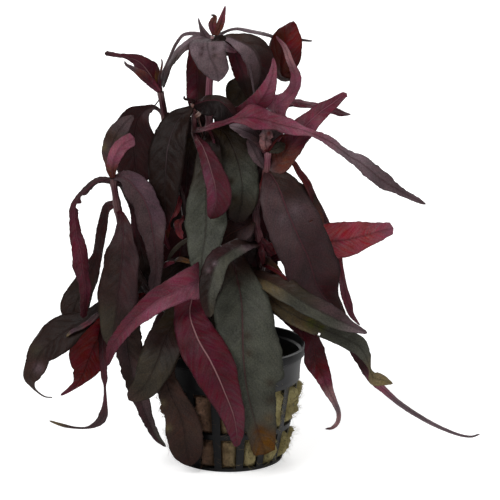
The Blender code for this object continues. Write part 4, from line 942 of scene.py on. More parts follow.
frontLeaves = group(dict(stem="stem_centre"), {
    "leaf_front_green": dict(turn=0, fold=8, route=[(-3.8, 72, -1), (0.5, 70, -8), (3, 62, -17),
        (4.4, 54, -23), (4.7, 45, -28), (4.9, 36, -31), (5.8, 26.5, -32), (6.4, 23, -31.8), (7.5, 18, -31),
        (10, 9, -29), (12.8, 0.8, -26)], widths=[1.6, 8, 12.3, 18.9, 20.7, 20, 19.4, 15, 13.4, 10.8, 7.2],
        top="soil bark lichen lichen lichen lichen sage rust", rib="berry",
        uneven=[0, 0, 0.1, 0, 0.11, 0.32, 0.36, 0.32, 0.33, 0.26, 0], tip=0.8, dabs=[(14, 5, 4, "amber"),
        (11, 9, 3, "rust"), (3, 69, 3, "umber"), (2.4, 65.5, 1.5, "bark"), (3.3, 61, 1.4, "bark"),
        (6.2, 42.5, 2, "moss"), (6.8, 36.5, 1.8, "moss"), (15, 20, 2.2, "moss"), (14.5, 26, 1.8, "moss"),
        (14, 13.5, 1.8, "khaki")]),
    "leaf_front_magenta": dict(turn=170, route=[(-4.2, 54.5, -1.5), (-8.5, 57, -9), (-12.5, 56, -17),
        (-13.8, 50, -24), (-12.2, 44, -29), (-9.9, 39, -33), (-6.9, 34, -35.5), (-4.2, 28.5, -37),
        (-1.9, 23, -37.5), (0.2, 18, -37), (1.7, 13.5, -36), (2.6, 8.5, -34), (2.7, 3.4, -32)],
        widths=[1.5, 7, 11, 11, 13, 14.8, 15, 14, 11.8, 9.6, 7.9, 5.8, 1.8],
        under="wine berry cerise cerise cerise magenta magenta", rib="blush",
        ribs=[0, 0.1, 0.3, 0.6, 0.9, 0.9, 0.8, 0.6, 0.3, 0.1], veins=0.03),
    "leaf_front_pink": dict(turn=160, route=[(-6.2, 66, -1.5), (-8.5, 64.5, -9), (-10.2, 62.8, -17),
        (-10.4, 62.2, -23), (-12.3, 61.5, -27), (-16, 60, -29.5), (-20, 57.8, -31), (-25, 55.4, -32),
        (-30, 51.2, -32), (-34.6, 47.4, -31), (-38.3, 42.8, -29), (-41.2, 38.5, -27), (-42.8, 32, -26)],
        widths=[1.5, 5, 10, 11.8, 11.4, 10, 9, 8.2, 6.7, 5.2, 4.4, 3.8, 0.8],
        under="pink orchid orchid orchid pink berry", rib="orchid",
        otherHalf="pink orchid pink magenta magenta berry", ribs=[0, 0.1, 0.4, 0.4, 0.2, 0]),
    "leaf_pot_olive": dict(route=[(-5.8, 59.5, 1), (-12, 59, -0.5), (-15.9, 54.4, -7.6), (-18.9, 48, -14.5),
        (-22.6, 41, -22), (-25.3, 34, -26), (-28.2, 27.6, -27), (-30.6, 24, -26), (-33.2, 21.8, -25),
        (-35.4, 20, -23)], widths=[1.5, 5.6, 8.4, 9.4, 12.4, 12.4, 10.4, 8.2, 5.6, 2.4],
        top="olive olive olive olive umber moss moss bark"),
    "leaf_pot_brown": dict(stem="stem_left", route=[(-17.5, 46, -6.5), (-20.5, 42.5, -14), (-22.8, 36, -20),
        (-22.8, 29, -22.5), (-20.3, 21.5, -24), (-17.6, 15.5, -24), (-16, 10, -23.5), (-15.4, 5, -22.5),
        (-14.5, 0, -21.5), (-13.9, -3.4, -21)], widths=[1.5, 8, 9.6, 7.4, 8.6, 10.8, 12.3, 12, 9.5, 5],
        top="olive umber bark bark bark bark umber", dabs=[(-23.5, 19, 1.6, "khaki"),
        (-21.5, 10, 1.5, "khaki")]),
    "leaf_pot_hanging": dict(stem="stem_left", turn=25, ragged=2, route=[(-31.5, 61, -7.5), (-35.3, 57, -10),
        (-36, 48, -12), (-35.9, 40, -13), (-34.3, 30, -14), (-31.2, 20, -14), (-28.5, 13, -14),
        (-25.6, 7, -15), (-22.3, 3.5, -16)], widths=[1.4, 5.6, 9.5, 9.8, 7.6, 6.1, 4, 2.6, 0.8],
        top="umber plum plum soil plum plum", otherHalf="bark bark bark dusk dusk sage",
        bites=[(-37.7, 26.3, 1.2)]),
})

backLeaves = group(dict(stem="stem_back", under="garnet wine garnet", rib="garnet", turn=165), {
    "leaf_back_left": dict(route=[(-8, 111, 25), (-12, 112, 29), (-16, 106, 32), (-19, 96, 34),
        (-20.5, 86, 34), (-21, 75, 32)], widths=[1.4, 9, 11, 9.5, 6, 1.2]),
    "leaf_back_right": dict(route=[(-6, 109, 25), (-1, 110.5, 29), (1.5, 105, 33), (2.5, 95, 35), (3, 84, 35),
        (3, 73, 33)], widths=[1.4, 9, 12, 11, 7, 1.2]),
    "leaf_back_middle": dict(turn=160, route=[(-10.2, 81.5, 21), (-14, 81.5, 26), (-17, 74, 30),
        (-19, 64, 32), (-20, 54, 32), (-20, 47, 31)], widths=[1.4, 10, 12.5, 10, 6, 1.2]),
    "leaf_back_side": dict(stem="stem_upper_right", turn=160, route=[(10.9, 80, 9), (13, 80.5, 14),
        (14.4, 75, 18), (13.9, 67, 20), (14.8, 59, 20), (16.2, 52.5, 18)], widths=[1.4, 6, 7.5, 6, 5, 1.2]),
    "leaf_back_pot_right": dict(turn=170, route=[(-4, 48, 15), (0, 51.5, 22), (3, 50, 29), (4, 45, 34),
        (5, 37, 36), (6, 27, 35)], widths=[1.4, 9, 12, 11, 7, 1.2]),
    "leaf_back_pot_left": dict(route=[(-6, 53, 15), (-12, 53.5, 21), (-18, 50, 26), (-22.5, 44, 29),
        (-25, 36, 30), (-26.5, 27, 29)], widths=[1.4, 9, 11.5, 10, 6, 1.2]),
})

# Small leaves that are one with the stems' tips in the solids, and those past the solids' number
smallLeaves = {
    **group(dict(stem="stem_centre", slot="stem", turn=20, rib="ash"), {
        "bud_right": dict(turn=10, route=[(-5, 148, 0), (-3, 152.5, -0.6), (-1.3, 158.9, -1)],
            widths=[1.6, 2.6, 0.5], top="clay clay pink pink", rib="wine"),
        "bud_hooked": dict(route=[(-5, 148, 0), (-5.8, 152.3, 0.6), (-5, 155, 0.8), (-6.4, 155.7, 0.8)],
            widths=[1.4, 2.8, 1.4, 0.5], top="clay magenta clay plum", rib="wine"),
        "bud_slim": dict(turn=15, route=[(-6.6, 145, 0), (-8.3, 148, 0.6), (-10, 151.6, 1.2),
            (-10.9, 154.6, 1.5)], widths=[1.6, 3, 1.2, 0.4], top="ash ash mist", rib="umber"),
        "crown_arch_outer": dict(turn=40, route=[(-5.2, 147, 0), (-9, 148.4, 3), (-12.5, 149.1, 5),
            (-16, 148.6, 6.5), (-18.3, 146, 7.5), (-20.3, 142.3, 8.5), (-22, 138, 9), (-23.4, 134.5, 9),
            (-23.7, 130.5, 9)], widths=[1.2, 1.3, 1.1, 1, 1, 1.1, 1.2, 1.1, 0.8],
            top="mist mist ash ash dusk"),
        "crown_flap": dict(stem=None, route=[(-2, 144.8, -8), (0, 143.6, -7), (2.6, 142.6, -5)],
            widths=[2.4, 2.2, 0.8], top="mist orchid"),
        "crown_thread": dict(stem=None, route=[(6.85, 138.2, -12.4), (7.6, 135.3, -12.4), (8.9, 127.3, -11)],
            widths=[0.6, 0.6, 0.5], top="ash mist"),
    }),
    **group(dict(stem="stem_upper_left", slot="stem", turn=0, rib="wine"), {
        "shoot_left_curl": dict(turn=30, route=[(-24.5, 128.6, 2), (-28, 132.2, -0.5), (-31.5, 135.3, -2.5),
            (-34.5, 137.2, -3.5), (-36.3, 138.2, -4), (-36.8, 139.4, -4)],
            widths=[1.4, 3, 2.6, 1.4, 0.9, 0.6], top="pink magenta berry clay ash ash", rib="berry"),
        "shoot_left_bud": dict(route=[(-24.3, 129, 2), (-24.6, 133, 0), (-23.9, 136.5, -0.5), (-23.6, 139, 0),
            (-24.1, 140.3, 0)], widths=[1.2, 1, 0.8, 0.6, 0.5], top="berry berry dusk clay mist"),
        "shoot_left_bract": dict(turn=10, route=[(-24.3, 129, 2), (-25, 131, 1), (-25.3, 134.5, 0.5),
            (-25.4, 137.3, 0.5)], widths=[1.2, 1.6, 1.8, 0.7], top="clay rust garnet"),
        "stub_left": dict(route=[(-22.6, 118.8, 3), (-21.9, 120.2, 2), (-21.2, 121.3, 1.5)],
            widths=[1, 1, 0.8], top="soil umber", rib="soil"),
    }),
    **group(dict(slot="stem", turn=0, rib="dusk"), {
        "left_wire_upper": dict(route=[(-26.3, 123.6, 5), (-25, 125.2, 4), (-24.4, 126.4, 2.6)],
            widths=[0.4, 0.4, 0.4], top="dusk ash"),
        "left_wire_lower": dict(route=[(-28, 121.2, 5), (-27.3, 121.6, 4.4), (-26.6, 123, 5)],
            widths=[0.4, 0.4, 0.4], top="dusk ash"),
    }),
    **group(dict(rib="pink"), {
        "left_flap": dict(stem="stem_left", slot="leaf_rose", turn=165, route=[(-41.2, 98.5, -7),
            (-41.2, 102, -11.4), (-40.1, 106.3, -12.8), (-37.4, 110, -12.8), (-33.4, 112.3, -11.5)],
            widths=[1.5, 3.5, 5, 5, 4.2], under="clay clay orchid orchid orchid", tip=0.4, ribs=0.4),
        "left_low_curl": dict(slot="leaf_mauve", turn=40, route=[(-45.8, 50.3, -14), (-47.5, 49, -15),
            (-50, 47, -15.8), (-53, 45.2, -16.2), (-55.5, 44, -16.3), (-57.3, 42.3, -15.6)],
            widths=[1.6, 1.8, 1.8, 1.5, 1.2, 0.7], top="plum dusk magenta dusk mauve straw", rib="dusk"),
    }),
    **group(dict(stem="side_shoot", turn=10, rib="soil"), {
        "shoot_hook": dict(slot="stem", route=[(-12.2, 124.2, -1), (-12.6, 125.3, -1.6), (-14.4, 125.8, -2),
            (-15.7, 126, -2), (-15.9, 127.2, -2)], widths=[1, 1, 0.9, 0.8, 0.5], top="soil wine soil"),
        "shoot_dark": dict(slot="leaf_dark", route=[(-12.4, 119.5, -1), (-14.2, 117.8, 1), (-14.6, 112, 2)],
            widths=[1, 3.6, 1.4], top="night plum night"),
    }),
    **group(dict(stem="stem_centre", slot="stem", rib="soil"), {
        "node_dark": dict(slot="leaf_dark", route=[(-6.9, 124.5, 1), (-3.8, 123, 3), (-0.5, 119.5, 4),
            (2, 113.5, 4)], widths=[2, 7, 8, 2], top="night umber soil"),
        "node_back": dict(slot="leaf_dark", route=[(-7, 122.5, 1), (-9.6, 120.5, 3), (-11.2, 114, 4)],
            widths=[1.6, 5.5, 1.4], top="night plum soil"),
        "node_bud_pink": dict(turn=0, route=[(-7, 120.3, -1), (-6.6, 122, -2.5), (-6.2, 123.5, -3)],
            widths=[1, 1.7, 0.6], top="pink orchid", rib="berry"),
        "node_bud_beige": dict(stem="side_shoot", turn=0, route=[(-12, 119.3, -2), (-10.6, 120.8, -3),
            (-9.7, 122.3, -3)], widths=[1, 1.5, 0.5], top="clay bone", rib="clay"),
        "node_petiole": dict(turn=0, route=[(-6.8, 115, -2), (-5.9, 112.6, -8), (-5.15, 110.3, -11.4)],
            widths=[1, 0.9, 0.8], top="garnet berry", rib="garnet"),
    }),
    **group(dict(slot="leaf_rose", turn=160), {
        "slit_rose": dict(stem="stem_upper_left", route=[(-17, 92, 5.5), (-18.4, 88.5, 1), (-20, 84.5, -3),
            (-21.6, 80.5, -5), (-22.2, 76.5, -5)], widths=[1.4, 3, 2.4, 2, 1.4],
            under="rose rose coral blood rust", rib="blood"),
        "slit_arc": dict(slot="leaf_dark", turn=10, route=[(-17.1, 84.3, -0.6), (-19.2, 83.8, -3),
            (-20.2, 82.3, -4.2), (-19.9, 80.3, -5)], widths=[0.8, 1, 1, 0.6], top="soil", rib="soil"),
        "slit_coral": dict(stem="stem_upper_left", route=[(-15.2, 84.5, 6), (-18, 82, -1), (-17.6, 79, -5),
            (-16.4, 76.5, -6)], widths=[1, 2.6, 3.6, 2], under="rose coral rose", rib="rose"),
        "slit_magenta": dict(slot="leaf_magenta", route=[(-22.4, 79, -5), (-22.6, 76.5, -5), (-21, 73, -5)],
            widths=[0.8, 2, 1], under="magenta", rib="rose"),
        "slit_khaki": dict(slot="leaf_olive", turn=10, route=[(-14.6, 76.5, -17.5), (-17.2, 74.8, -15),
            (-19.7, 72.3, -13), (-21.6, 69.3, -12)], widths=[1.2, 1.5, 1.5, 0.8], top="moss"),
        "slit_rust": dict(slot="leaf_tan", turn=10, route=[(-13.6, 68.5, -20), (-17.2, 69.5, -16),
            (-19.4, 68.8, -14)], widths=[1.2, 1.9, 0.9], top="rust umber", rib="bark"),
        "slit_bit": dict(route=[(-19.2, 68.8, -14), (-21.6, 68, -13.4), (-23.4, 66.5, -13)],
            widths=[0.8, 1.7, 1], under="magenta", rib="blood"),
    }),
    **group(dict(stem="stem_centre", slot="leaf_magenta", turn=20, rib="berry"), {
        "crown_shade": dict(slot="leaf_dark", route=[(-8, 147, -4), (-5, 147.3, -5), (-1.5, 147.1, -5),
            (1.5, 145.6, -4)], widths=[1, 2.2, 2.2, 1], top="soil night night", rib="night"),
        "shoot_shade": dict(stem="stem_upper_right", turn=170, route=[(19, 115, -1), (16, 116.6, -6),
            (10.5, 117.2, -9), (3, 118.2, -10)], widths=[2, 6.5, 6, 3.5], under="berry berry magenta"),
    }),
    **group(dict(stem="stem_right", slot="stem", turn=20), {
        "tip_flap": dict(route=[(12.8, 109.5, -12), (9.5, 113, -12.8), (5.5, 115, -12), (0, 116.8, -10)],
            widths=[3, 5, 5, 1], top="berry dusk mist mist", rib="plum"),
        "tip_green": dict(turn=10, route=[(12.8, 101.5, -10), (10.5, 104.5, -11.5), (8.6, 108.3, -12),
            (6.6, 112.3, -12)], widths=[1.2, 3.4, 4.2, 1.4], top="dusk ash dusk"),
        "tip_crumpled": dict(wave=(1, 3), pucker=0.8, ragged=3, route=[(13.7, 107, -12), (12.8, 110.5, -13.3),
            (13, 113.5, -13.6), (12, 116, -13.4)], widths=[1.6, 4, 4.6, 2.4], top="clay blush mist",
            rib="berry", dabs=[(14, 113.8, 1, "blood"), (13.2, 112, 0.9, "bark")]),
        "tip_oval": dict(route=[(15, 107.5, -12), (17.5, 109, -13), (19.8, 110.2, -12.5)],
            widths=[1.5, 3.8, 1], top="moss"),
        "tip_slate": dict(route=[(13.8, 108.5, -11.6), (15.6, 113, -12), (17.8, 116.8, -12)],
            widths=[1, 4.8, 3], top="clay dusk dusk"),
        "tip_petiole": dict(turn=0, route=[(14.6, 108.5, -12.5), (17, 112, -13.4), (20, 113.4, -13),
            (25, 114.3, -12)], widths=[0.8, 0.8, 0.8, 0.8], top="crimson", rib="crimson"),
        "tip_stalk": dict(turn=0, route=[(12.8, 107.8, -12.6), (11.4, 109, -13), (10, 110.2, -13)],
            widths=[1, 1.6, 1], top="crimson blood crimson", rib="crimson"),
    }),
    **group(dict(stem="stem_right", slot="leaf_crimson"), {
        "nest_plum": dict(slot="leaf_dark", route=[(9.5, 83.5, -6), (7, 79, -6), (4, 75.5, -6)],
            widths=[1.4, 6.5, 3], top="umber dusk"),
        "nest_dark": dict(slot="leaf_dark", route=[(10.5, 76, -6), (6.8, 71.5, -6), (5.5, 65.5, -7)],
            widths=[1.4, 5.5, 2], top="night plum", rib="soil"),
        "nest_crimson": dict(turn=165, route=[(11.5, 77, -8), (13.5, 74, -9), (16, 71, -9)],
            widths=[1.2, 3.2, 1], under="garnet", rib="wine"),
        "nest_red": dict(turn=165, route=[(10.5, 75.5, -9), (11.5, 72, -10), (12, 67.5, -10)],
            widths=[1, 2.4, 1], under="garnet", rib="wine"),
        "nest_brown": dict(slot="leaf_tan", route=[(11, 70.5, -7), (14, 68.5, -8), (17, 65.5, -8),
            (19, 62.5, -8)], widths=[1, 2.6, 2.4, 0.8], top="bark rust"),
        "nest_back": dict(slot="leaf_dark", route=[(9, 79, -5), (9.5, 72, -4), (10, 66, -4), (10.5, 60, -3)],
            widths=[1.4, 9, 10, 5], top="wine garnet soil", rib="soil"),
        "nest_stalk": dict(route=[(11.5, 67.5, -8), (14.5, 66.5, -12), (17.5, 64.9, -16), (20.5, 62.3, -19)],
            widths=[1.2, 1.2, 1.2, 1], top="garnet crimson", rib="wine"),
    }),
    **group(dict(stem="stem_centre", slot="leaf_dark", turn=10, rib="soil"), {
        "inner_right": dict(stem="stem_right", route=[(11.5, 93.5, -9), (9.8, 97.5, -5), (10.2, 103, -3),
            (11, 109, -2), (12.5, 114, -1)], widths=[1.4, 6.5, 11, 11, 3], top="night plum night"),
        "inner_low": dict(stem="stem_right", route=[(11, 92, -6), (11, 86, -4), (9.3, 80, -3), (8, 74, -3)],
            widths=[2, 6.5, 9, 6], top="wine garnet night"),
        "inner_mid": dict(route=[(-6.5, 96, 1), (-3, 92, 3), (-0.5, 84, 4), (0, 74, 4)], widths=[2, 7, 8, 5],
            top="night soil"),
        "inner_core": dict(route=[(-5, 72, 2), (0, 71, 5), (5, 66, 6), (8.5, 58, 6)], widths=[2, 8, 10, 6],
            top="night soil"),
        "inner_front": dict(slot="leaf_green", route=[(-4, 60, 1), (-6, 56, -3), (-7.5, 50, -6),
            (-7, 42, -7)], widths=[2, 6, 7, 3], top="night moss"),
    }),
    **group(dict(stem="stem_centre", slot="leaf_magenta", turn=165), {
        "back_upper": dict(slot="leaf_mauve", turn=170, route=[(-4.5, 121, 3), (-3, 122, 9), (-1, 117, 14),
            (0.5, 108, 17), (1, 98, 17)], widths=[1.4, 6, 8.5, 8, 1.4], under="umber plum dusk dusk"),
        "back_mid": dict(slot="leaf_green", route=[(-4.5, 98, 4), (-6, 99, 10), (-8, 92, 15), (-9, 82, 17),
            (-9.5, 72, 16)], widths=[1.4, 7, 10, 8, 1.4], under="olive moss moss bark"),
        "back_left": dict(stem="stem_upper_left", turn=195, route=[(-17, 108, 6), (-18, 110, 11),
            (-20, 104, 15), (-22, 95, 17), (-23, 85, 16)], widths=[1.4, 6, 8, 7, 1.4],
            under="wine garnet berry garnet", rib="magenta"),
        "back_right": dict(stem="stem_upper_right", slot="leaf_mauve", route=[(14, 92, 6), (17, 94, 12),
            (20, 88, 16), (22, 78, 17), (23, 66, 15)], widths=[1.4, 7, 10, 9, 1.4],
            under="plum dusk dusk plum", rib="berry"),
        "back_low_left": dict(stem="stem_left", slot="leaf_olive", turn=190, route=[(-30, 66, -2),
            (-33, 64, 4), (-36, 57, 8), (-38, 48, 9), (-39, 40, 8)], widths=[1.4, 5, 8, 7, 1.2],
            under="moss moss bark rust"),
        "back_low": dict(turn=180, route=[(-3.5, 72, 4), (-2, 73, 10), (0, 66, 15), (1, 56, 17), (2, 46, 16)],
            widths=[1.4, 7, 10, 9, 1.4], under="berry magenta berry garnet", rib="orchid"),
    }),
    "inner_left": dict(stem="stem_upper_left", slot="leaf_dark", turn=10, route=[(-12, 70.5, 7),
        (-17, 67.5, 4), (-22, 63, 2), (-27, 56, 1)], widths=[1.4, 7, 9, 5], top="night soil night",
        rib="soil"),
}


# The pot: its profile is radius and height pairs of the outside, its bands the lows and highs of the windows
potPlan = {"columns": 192, "wall": 1.2, "bevel": 0.22, "bevelFrom": 32, "smoothTo": 40, "base": 17.9,
           "bands": ((1.4, 12.4), (14.4, 28.9)), "period": 12, "ribStart": 4, "ribColumns": 4,
           "profile": [(18.6, 0.35), (18.85, 0.8), (19.0, 1.4), (20.2, 6.6), (21.5, 12.4), (22.0, 14.4),
                       (23.0, 20.8), (24.35, 28.9), (24.75, 29.5), (24.8, 31), (25.0, 34.0), (25.5, 36.6),
                       (25.75, 37.9), (26.6, 38.3), (26.9, 39.2), (27.45, 41.2), (27.5, 41.5)]}
# Black plastic, painted darker and given less gloss at the left as painted shade from the leaves over it, and
# duller on its lip
potFinish = {"plain": (0.0095, 0.0095, 0.0108, 1), "worn": (0.019, 0.019, 0.0215, 1), "wear": (0.45, 0.75),
             "dark": (0.002, 0.0019, 0.0022, 1), "darkTo": (-0.016, 0.012), "lip": (0.0385, 0.0365),
             "cloud": 90, "specks": 900, "roughness": 0.4, "wornRoughness": (0.16, 0.36),
             "specular": (0.34, 0.07), "lipSpecular": (0.75, 0.25), "relief": 0.8, "bump": 0.12,
             "depth": 0.0002}


def potColumn(angle):  # columns are counted from the front
    return ((angle + math.tau / 4) % math.tau) / math.tau * potPlan["columns"]


def inWindow(angle, height):
    column = int(potColumn(angle)) % potPlan["period"]
    onRib = potPlan["ribStart"] <= column < potPlan["ribStart"] + potPlan["ribColumns"]
    return not onRib and any(low < height < high for low, high in potPlan["bands"])


def riseRings(profile, radius, height):  # extrudes the selected ring up through a profile
    for nextRadius, nextHeight in profile:
        bpy.ops.mesh.extrude_edges_move(
            TRANSFORM_OT_translate={"value": (0, 0, (nextHeight - height) * mm)})
        bpy.ops.transform.resize(value=(nextRadius / radius, nextRadius / radius, 1),
                                 center_override=(0, 0, nextHeight * mm))
        radius, height = nextRadius, nextHeight


def addDisc(name, radius, height, columns):
    clearSelection()
    bpy.ops.mesh.primitive_circle_add(vertices=columns, radius=radius * mm, fill_type="NGON",
                                      location=(0, 0, height * mm))
    disc = bpy.context.object
    disc.name = disc.data.name = name
    bpy.ops.object.transform_apply(location=True, rotation=False, scale=False)
    bpy.ops.object.mode_set(mode="EDIT")
    bpy.ops.mesh.select_mode(type="EDGE")
    bpy.ops.mesh.select_all(action="DESELECT")
    bpy.ops.mesh.select_non_manifold()
    return disc


def makePotMaterial():
    finish = potFinish
    material, tree, shader = newMaterial("potPlastic", finish["roughness"])
    place = addNode(tree, "TexCoord").outputs["Object"]
    across, deep, up = apart(tree, place)
    cloud = grain(tree, place, finish["cloud"], 4)
    specks = grain(tree, place, finish["specks"], 2)
    worn = ramp(tree, cloud, *finish["wear"])
    colour = dye(tree, worn, finish["plain"], finish["worn"])
    # painted shade: the colour darkens and the gloss drops towards the left, where the leaves shade the pot
    unshaded = ramp(tree, across, *finish["darkTo"])
    tree.links.new(dye(tree, unshaded, finish["dark"], colour), shader.inputs["Base Color"])
    roughness = calc(tree, "MULTIPLY_ADD", worn, *finish["wornRoughness"])
    tree.links.new(roughness, shader.inputs["Roughness"])
    gloss = calc(tree, "MULTIPLY_ADD", unshaded, *finish["specular"])
    belowLip = calc(tree, "MULTIPLY_ADD", ramp(tree, up, *finish["lip"]), *finish["lipSpecular"])
    tree.links.new(calc(tree, "MULTIPLY", gloss, belowLip), shader.inputs["Specular IOR Level"])
    height = calc(tree, "MULTIPLY_ADD", cloud, finish["relief"], specks)
    addBump(tree, shader, height, finish["bump"], finish["depth"])
    return material


def makePot():
    pot = addDisc("pot_skin", potPlan["base"], 0, potPlan["columns"])
    riseRings(potPlan["profile"], potPlan["base"], 0)
    bpy.ops.mesh.select_mode(type="FACE")
    faceOutwards()
    bpy.ops.mesh.select_all(action="DESELECT")
    bpy.ops.object.mode_set(mode="OBJECT")
    for face in pot.data.polygons:
        face.select = inWindow(math.atan2(face.center.y, face.center.x), face.center.z / mm)
    bpy.ops.object.mode_set(mode="EDIT")
    bpy.ops.mesh.delete(type="FACE")
    bpy.ops.object.mode_set(mode="OBJECT")
    base = min(pot.data.polygons, key=lambda face: face.center.z)
    if base.normal.z > 0:
        pot.data.flip_normals()
    wall = pot.modifiers.new("Wall", "SOLIDIFY")
    wall.thickness = potPlan["wall"] * mm
    wall.offset = -1
    wall.use_even_offset = True
    edges = pot.modifiers.new("Edges", "BEVEL")
    edges.width = potPlan["bevel"] * mm
    edges.segments = 2
    edges.limit_method = "ANGLE"
    edges.angle_limit = math.radians(potPlan["bevelFrom"])
    pot.data.materials.append(makePotMaterial())
    applyModifiers(pot)
    pot.data.shade_smooth()
    bpy.ops.object.shade_smooth_by_angle(angle=math.radians(potPlan["smoothTo"]))
    seat(pot, "pot")


# Rock wool: fills the pot, swells a little through its windows and is domed at its shoulders
woolPlan = {"columns": 192, "rows": 44, "crownRings": 16, "foot": 1.6, "top": 33.0, "shoulder": 2.4,
            "shoulders": ((0.9, 1.1), (2, 0.3)), "inset": 1.5, "swell": 2.7, "lumps": 0.7,
            "lumpSpans": (3, 1.1), "smallLumps": 0.6, "windowLumps": 1.5, "topLumps": 1.6, "topDrop": 0.6,
            "skinLumps": 0.12, "windowInset": 0.3, "windowFade": (1.6, 2)}
# The rock wool is painted darker and browner towards the left, as painted shade from the leaves over it
# together with a browner tint, and lighter towards the right
woolFinish = {"low": (0.155, 0.118, 0.036, 1), "high": (0.33, 0.27, 0.105, 1),
              "deep": (0.050, 0.040, 0.016, 1),
              "shadedTint": (0.5, 0.32, 0.5, 1), "unshaded": (1.65, 1.75, 2.1, 1), "unshadedFrom": (-0.009, 0.018),
              "patches": (130, 0.35, 0.68), "fine": (1300, 0.5, 0.3), "roughness": 0.75, "specular": 0.35,
              "relief": 0.5, "bump": 0.8, "depth": 0.0008}


def makeWoolMaterial():
    finish = woolFinish
    material, tree, shader = newMaterial("rockWool", finish["roughness"], finish["specular"])
    place = addNode(tree, "TexCoord").outputs["Object"]
    scale, low, high = finish["patches"]
    patches = grain(tree, place, scale, 4)
    colour = dye(tree, ramp(tree, patches, low, high), finish["low"], finish["high"])
    scale, low, high = finish["fine"]
    fine = grain(tree, place, scale, 5, 0.7)
    colour = dye(tree, ramp(tree, fine, low, high), colour, finish["deep"])
    # painted shade: darker and browner towards the left, lighter towards the right
    unshaded = ramp(tree, apart(tree, place)[0], *finish["unshadedFrom"])
    colour = dye(tree, 1.0, colour, dye(tree, unshaded, finish["shadedTint"], finish["unshaded"]), "MULTIPLY")
    tree.links.new(colour, shader.inputs["Base Color"])
    height = calc(tree, "MULTIPLY_ADD", patches, finish["relief"], fine)
    addBump(tree, shader, height, finish["bump"], finish["depth"])
    return material


def potRadius(height):
    profile = [(potPlan["base"], 0)] + potPlan["profile"]
    for (lowRadius, low), (highRadius, high) in zip(profile, profile[1:]):
        if low <= height <= high:
            return lowRadius + (highRadius - lowRadius) * (height - low) / (high - low)
    return profile[-1][0]


def windowSwell(angle, height):  # 1 in the middle of a window, 0 behind a rib
    period, inset = potPlan["period"], woolPlan["windowInset"]
    halfSpan = (period - potPlan["ribColumns"]) / 2
    off = abs((potColumn(angle) - potPlan["ribStart"] + halfSpan + period / 2) % period - period / 2)
    sideFade, endFade = woolPlan["windowFade"]
    sideways = eased((halfSpan - off - inset) / sideFade)
    upright = max(eased((height - low - inset) / endFade) * eased((high - height - inset) / endFade)
                  for low, high in potPlan["bands"])
    return sideways * upright


def makeWool(material):
    plan, foot, top = woolPlan, woolPlan["foot"], woolPlan["top"]
    footRadius = potRadius(foot) - foot
    wool = addDisc("rock_wool_skin", footRadius, foot, plan["columns"])
    rise = top - plan["shoulder"] - foot
    heights = [foot + rise * step / plan["rows"] for step in range(1, plan["rows"] + 1)]
    wall = [(potRadius(height) - plan["inset"], height) for height in heights]
    last = wall[-1][0]
    crown = [(last - inwards, top - below) for inwards, below in plan["shoulders"]]
    inner, rings = crown[-1][0], plan["crownRings"]
    crown += [(inner - (inner - 1) * step / rings, top) for step in range(1, rings + 1)]
    riseRings(wall + crown, footRadius, foot)
    bpy.ops.mesh.edge_face_add()
    faceOutwards()
    bpy.ops.object.mode_set(mode="OBJECT")
    large, small = plan["lumpSpans"]
    for vert in wool.data.vertices:
        x, y, z = vert.co / mm
        angle = math.atan2(y, x)
        lump = rough(x / large, y / large, z / large)
        lump += plan["smallLumps"] * rough(x / small, y / small, z / small)
        if foot + 0.1 < z < top - 0.5:
            push = windowSwell(angle, z) * (plan["swell"] + plan["lumps"] * lump * plan["windowLumps"])
            push += plan["skinLumps"] * lump
            vert.co.x += math.cos(angle) * push * mm
            vert.co.y += math.sin(angle) * push * mm
        elif z > foot + 0.1:
            vert.co.z += (plan["lumps"] * plan["topLumps"] * lump - plan["topDrop"]) * mm
    wool.data.materials.append(material)
    wool.data.shade_smooth()
    seat(wool, "rock_wool")
    return wool


# Fibres: thin curved strands of three steps that lie on the wool and stand a little off it
fibrePlan = {"count": 6500, "step": (0.495, 1.65), "radius": 0.05, "taper": 0.2, "bend": 0.5, "rise": 0.35,
             "fall": 0.16, "sunk": 0.1, "topBand": 3, "leastSwell": 0.25, "seed": 7}


def woolFaces(wool):  # the faces that show, on top and in the windows, in the same order on every run
    found = []
    for face in wool.data.polygons:
        x, y, z = face.center / mm
        angle = math.atan2(y, x)
        shows = z > woolPlan["top"] - fibrePlan["topBand"] or windowSwell(angle, z) > fibrePlan["leastSwell"]
        if shows and z > woolPlan["foot"] + 0.1 and len(face.vertices) == 4:
            found.append((int(potColumn(angle)), z - math.hypot(x, y), face))
    return [entry[2] for entry in sorted(found, key=lambda entry: entry[:2])]


def makeFibres(wool, material):
    plan = fibrePlan
    dice = random.Random(plan["seed"])
    faces = woolFaces(wool)
    verts, sides = [], []
    for face in dice.choices(faces, [face.area for face in faces], k=plan["count"]):
        normal = face.normal
        lean = Vector((dice.gauss(0, 1), dice.gauss(0, 1), dice.gauss(0, 0.8)))
        lean = (lean - normal * lean.dot(normal)).normalized()
        bend = normal.cross(lean) * dice.uniform(-plan["bend"], plan["bend"])
        length = dice.uniform(*plan["step"])
        heading = (lean + normal * dice.uniform(0.0, plan["rise"])).normalized()
        point = face.center / mm - normal * plan["sunk"]
        ring = []
        for step in range(4):
            across = heading.cross(normal).normalized()
            up = across.cross(heading)
            size = plan["radius"] * (1 - plan["taper"] * step)
            for corner in range(3):
                turn = corner * math.tau / 3
                verts.append(tuple((point + (across * math.cos(turn) + up * math.sin(turn)) * size) * mm))
            ring.append(len(verts) - 3)
            point = point + heading * length
            heading = (heading + bend * 0.5 - normal * plan["fall"]).normalized()
        for low, high in zip(ring, ring[1:]):
            for corner in range(3):
                after = (corner + 1) % 3
                sides.append((low + corner, low + after, high + after, high + corner))
        sides.append((ring[0] + 2, ring[0] + 1, ring[0]))
        sides.append((ring[-1], ring[-1] + 1, ring[-1] + 2))
    mesh = bpy.data.meshes.new("wool_fibres")
    mesh.from_pydata(verts, [], sides)
    mesh.update()
    fibres = bpy.data.objects.new("wool_fibres", mesh)
    bpy.context.scene.collection.objects.link(fibres)
    mesh.materials.append(material)
    mesh.shade_smooth()
    seat(fibres, None, "rock_wool")


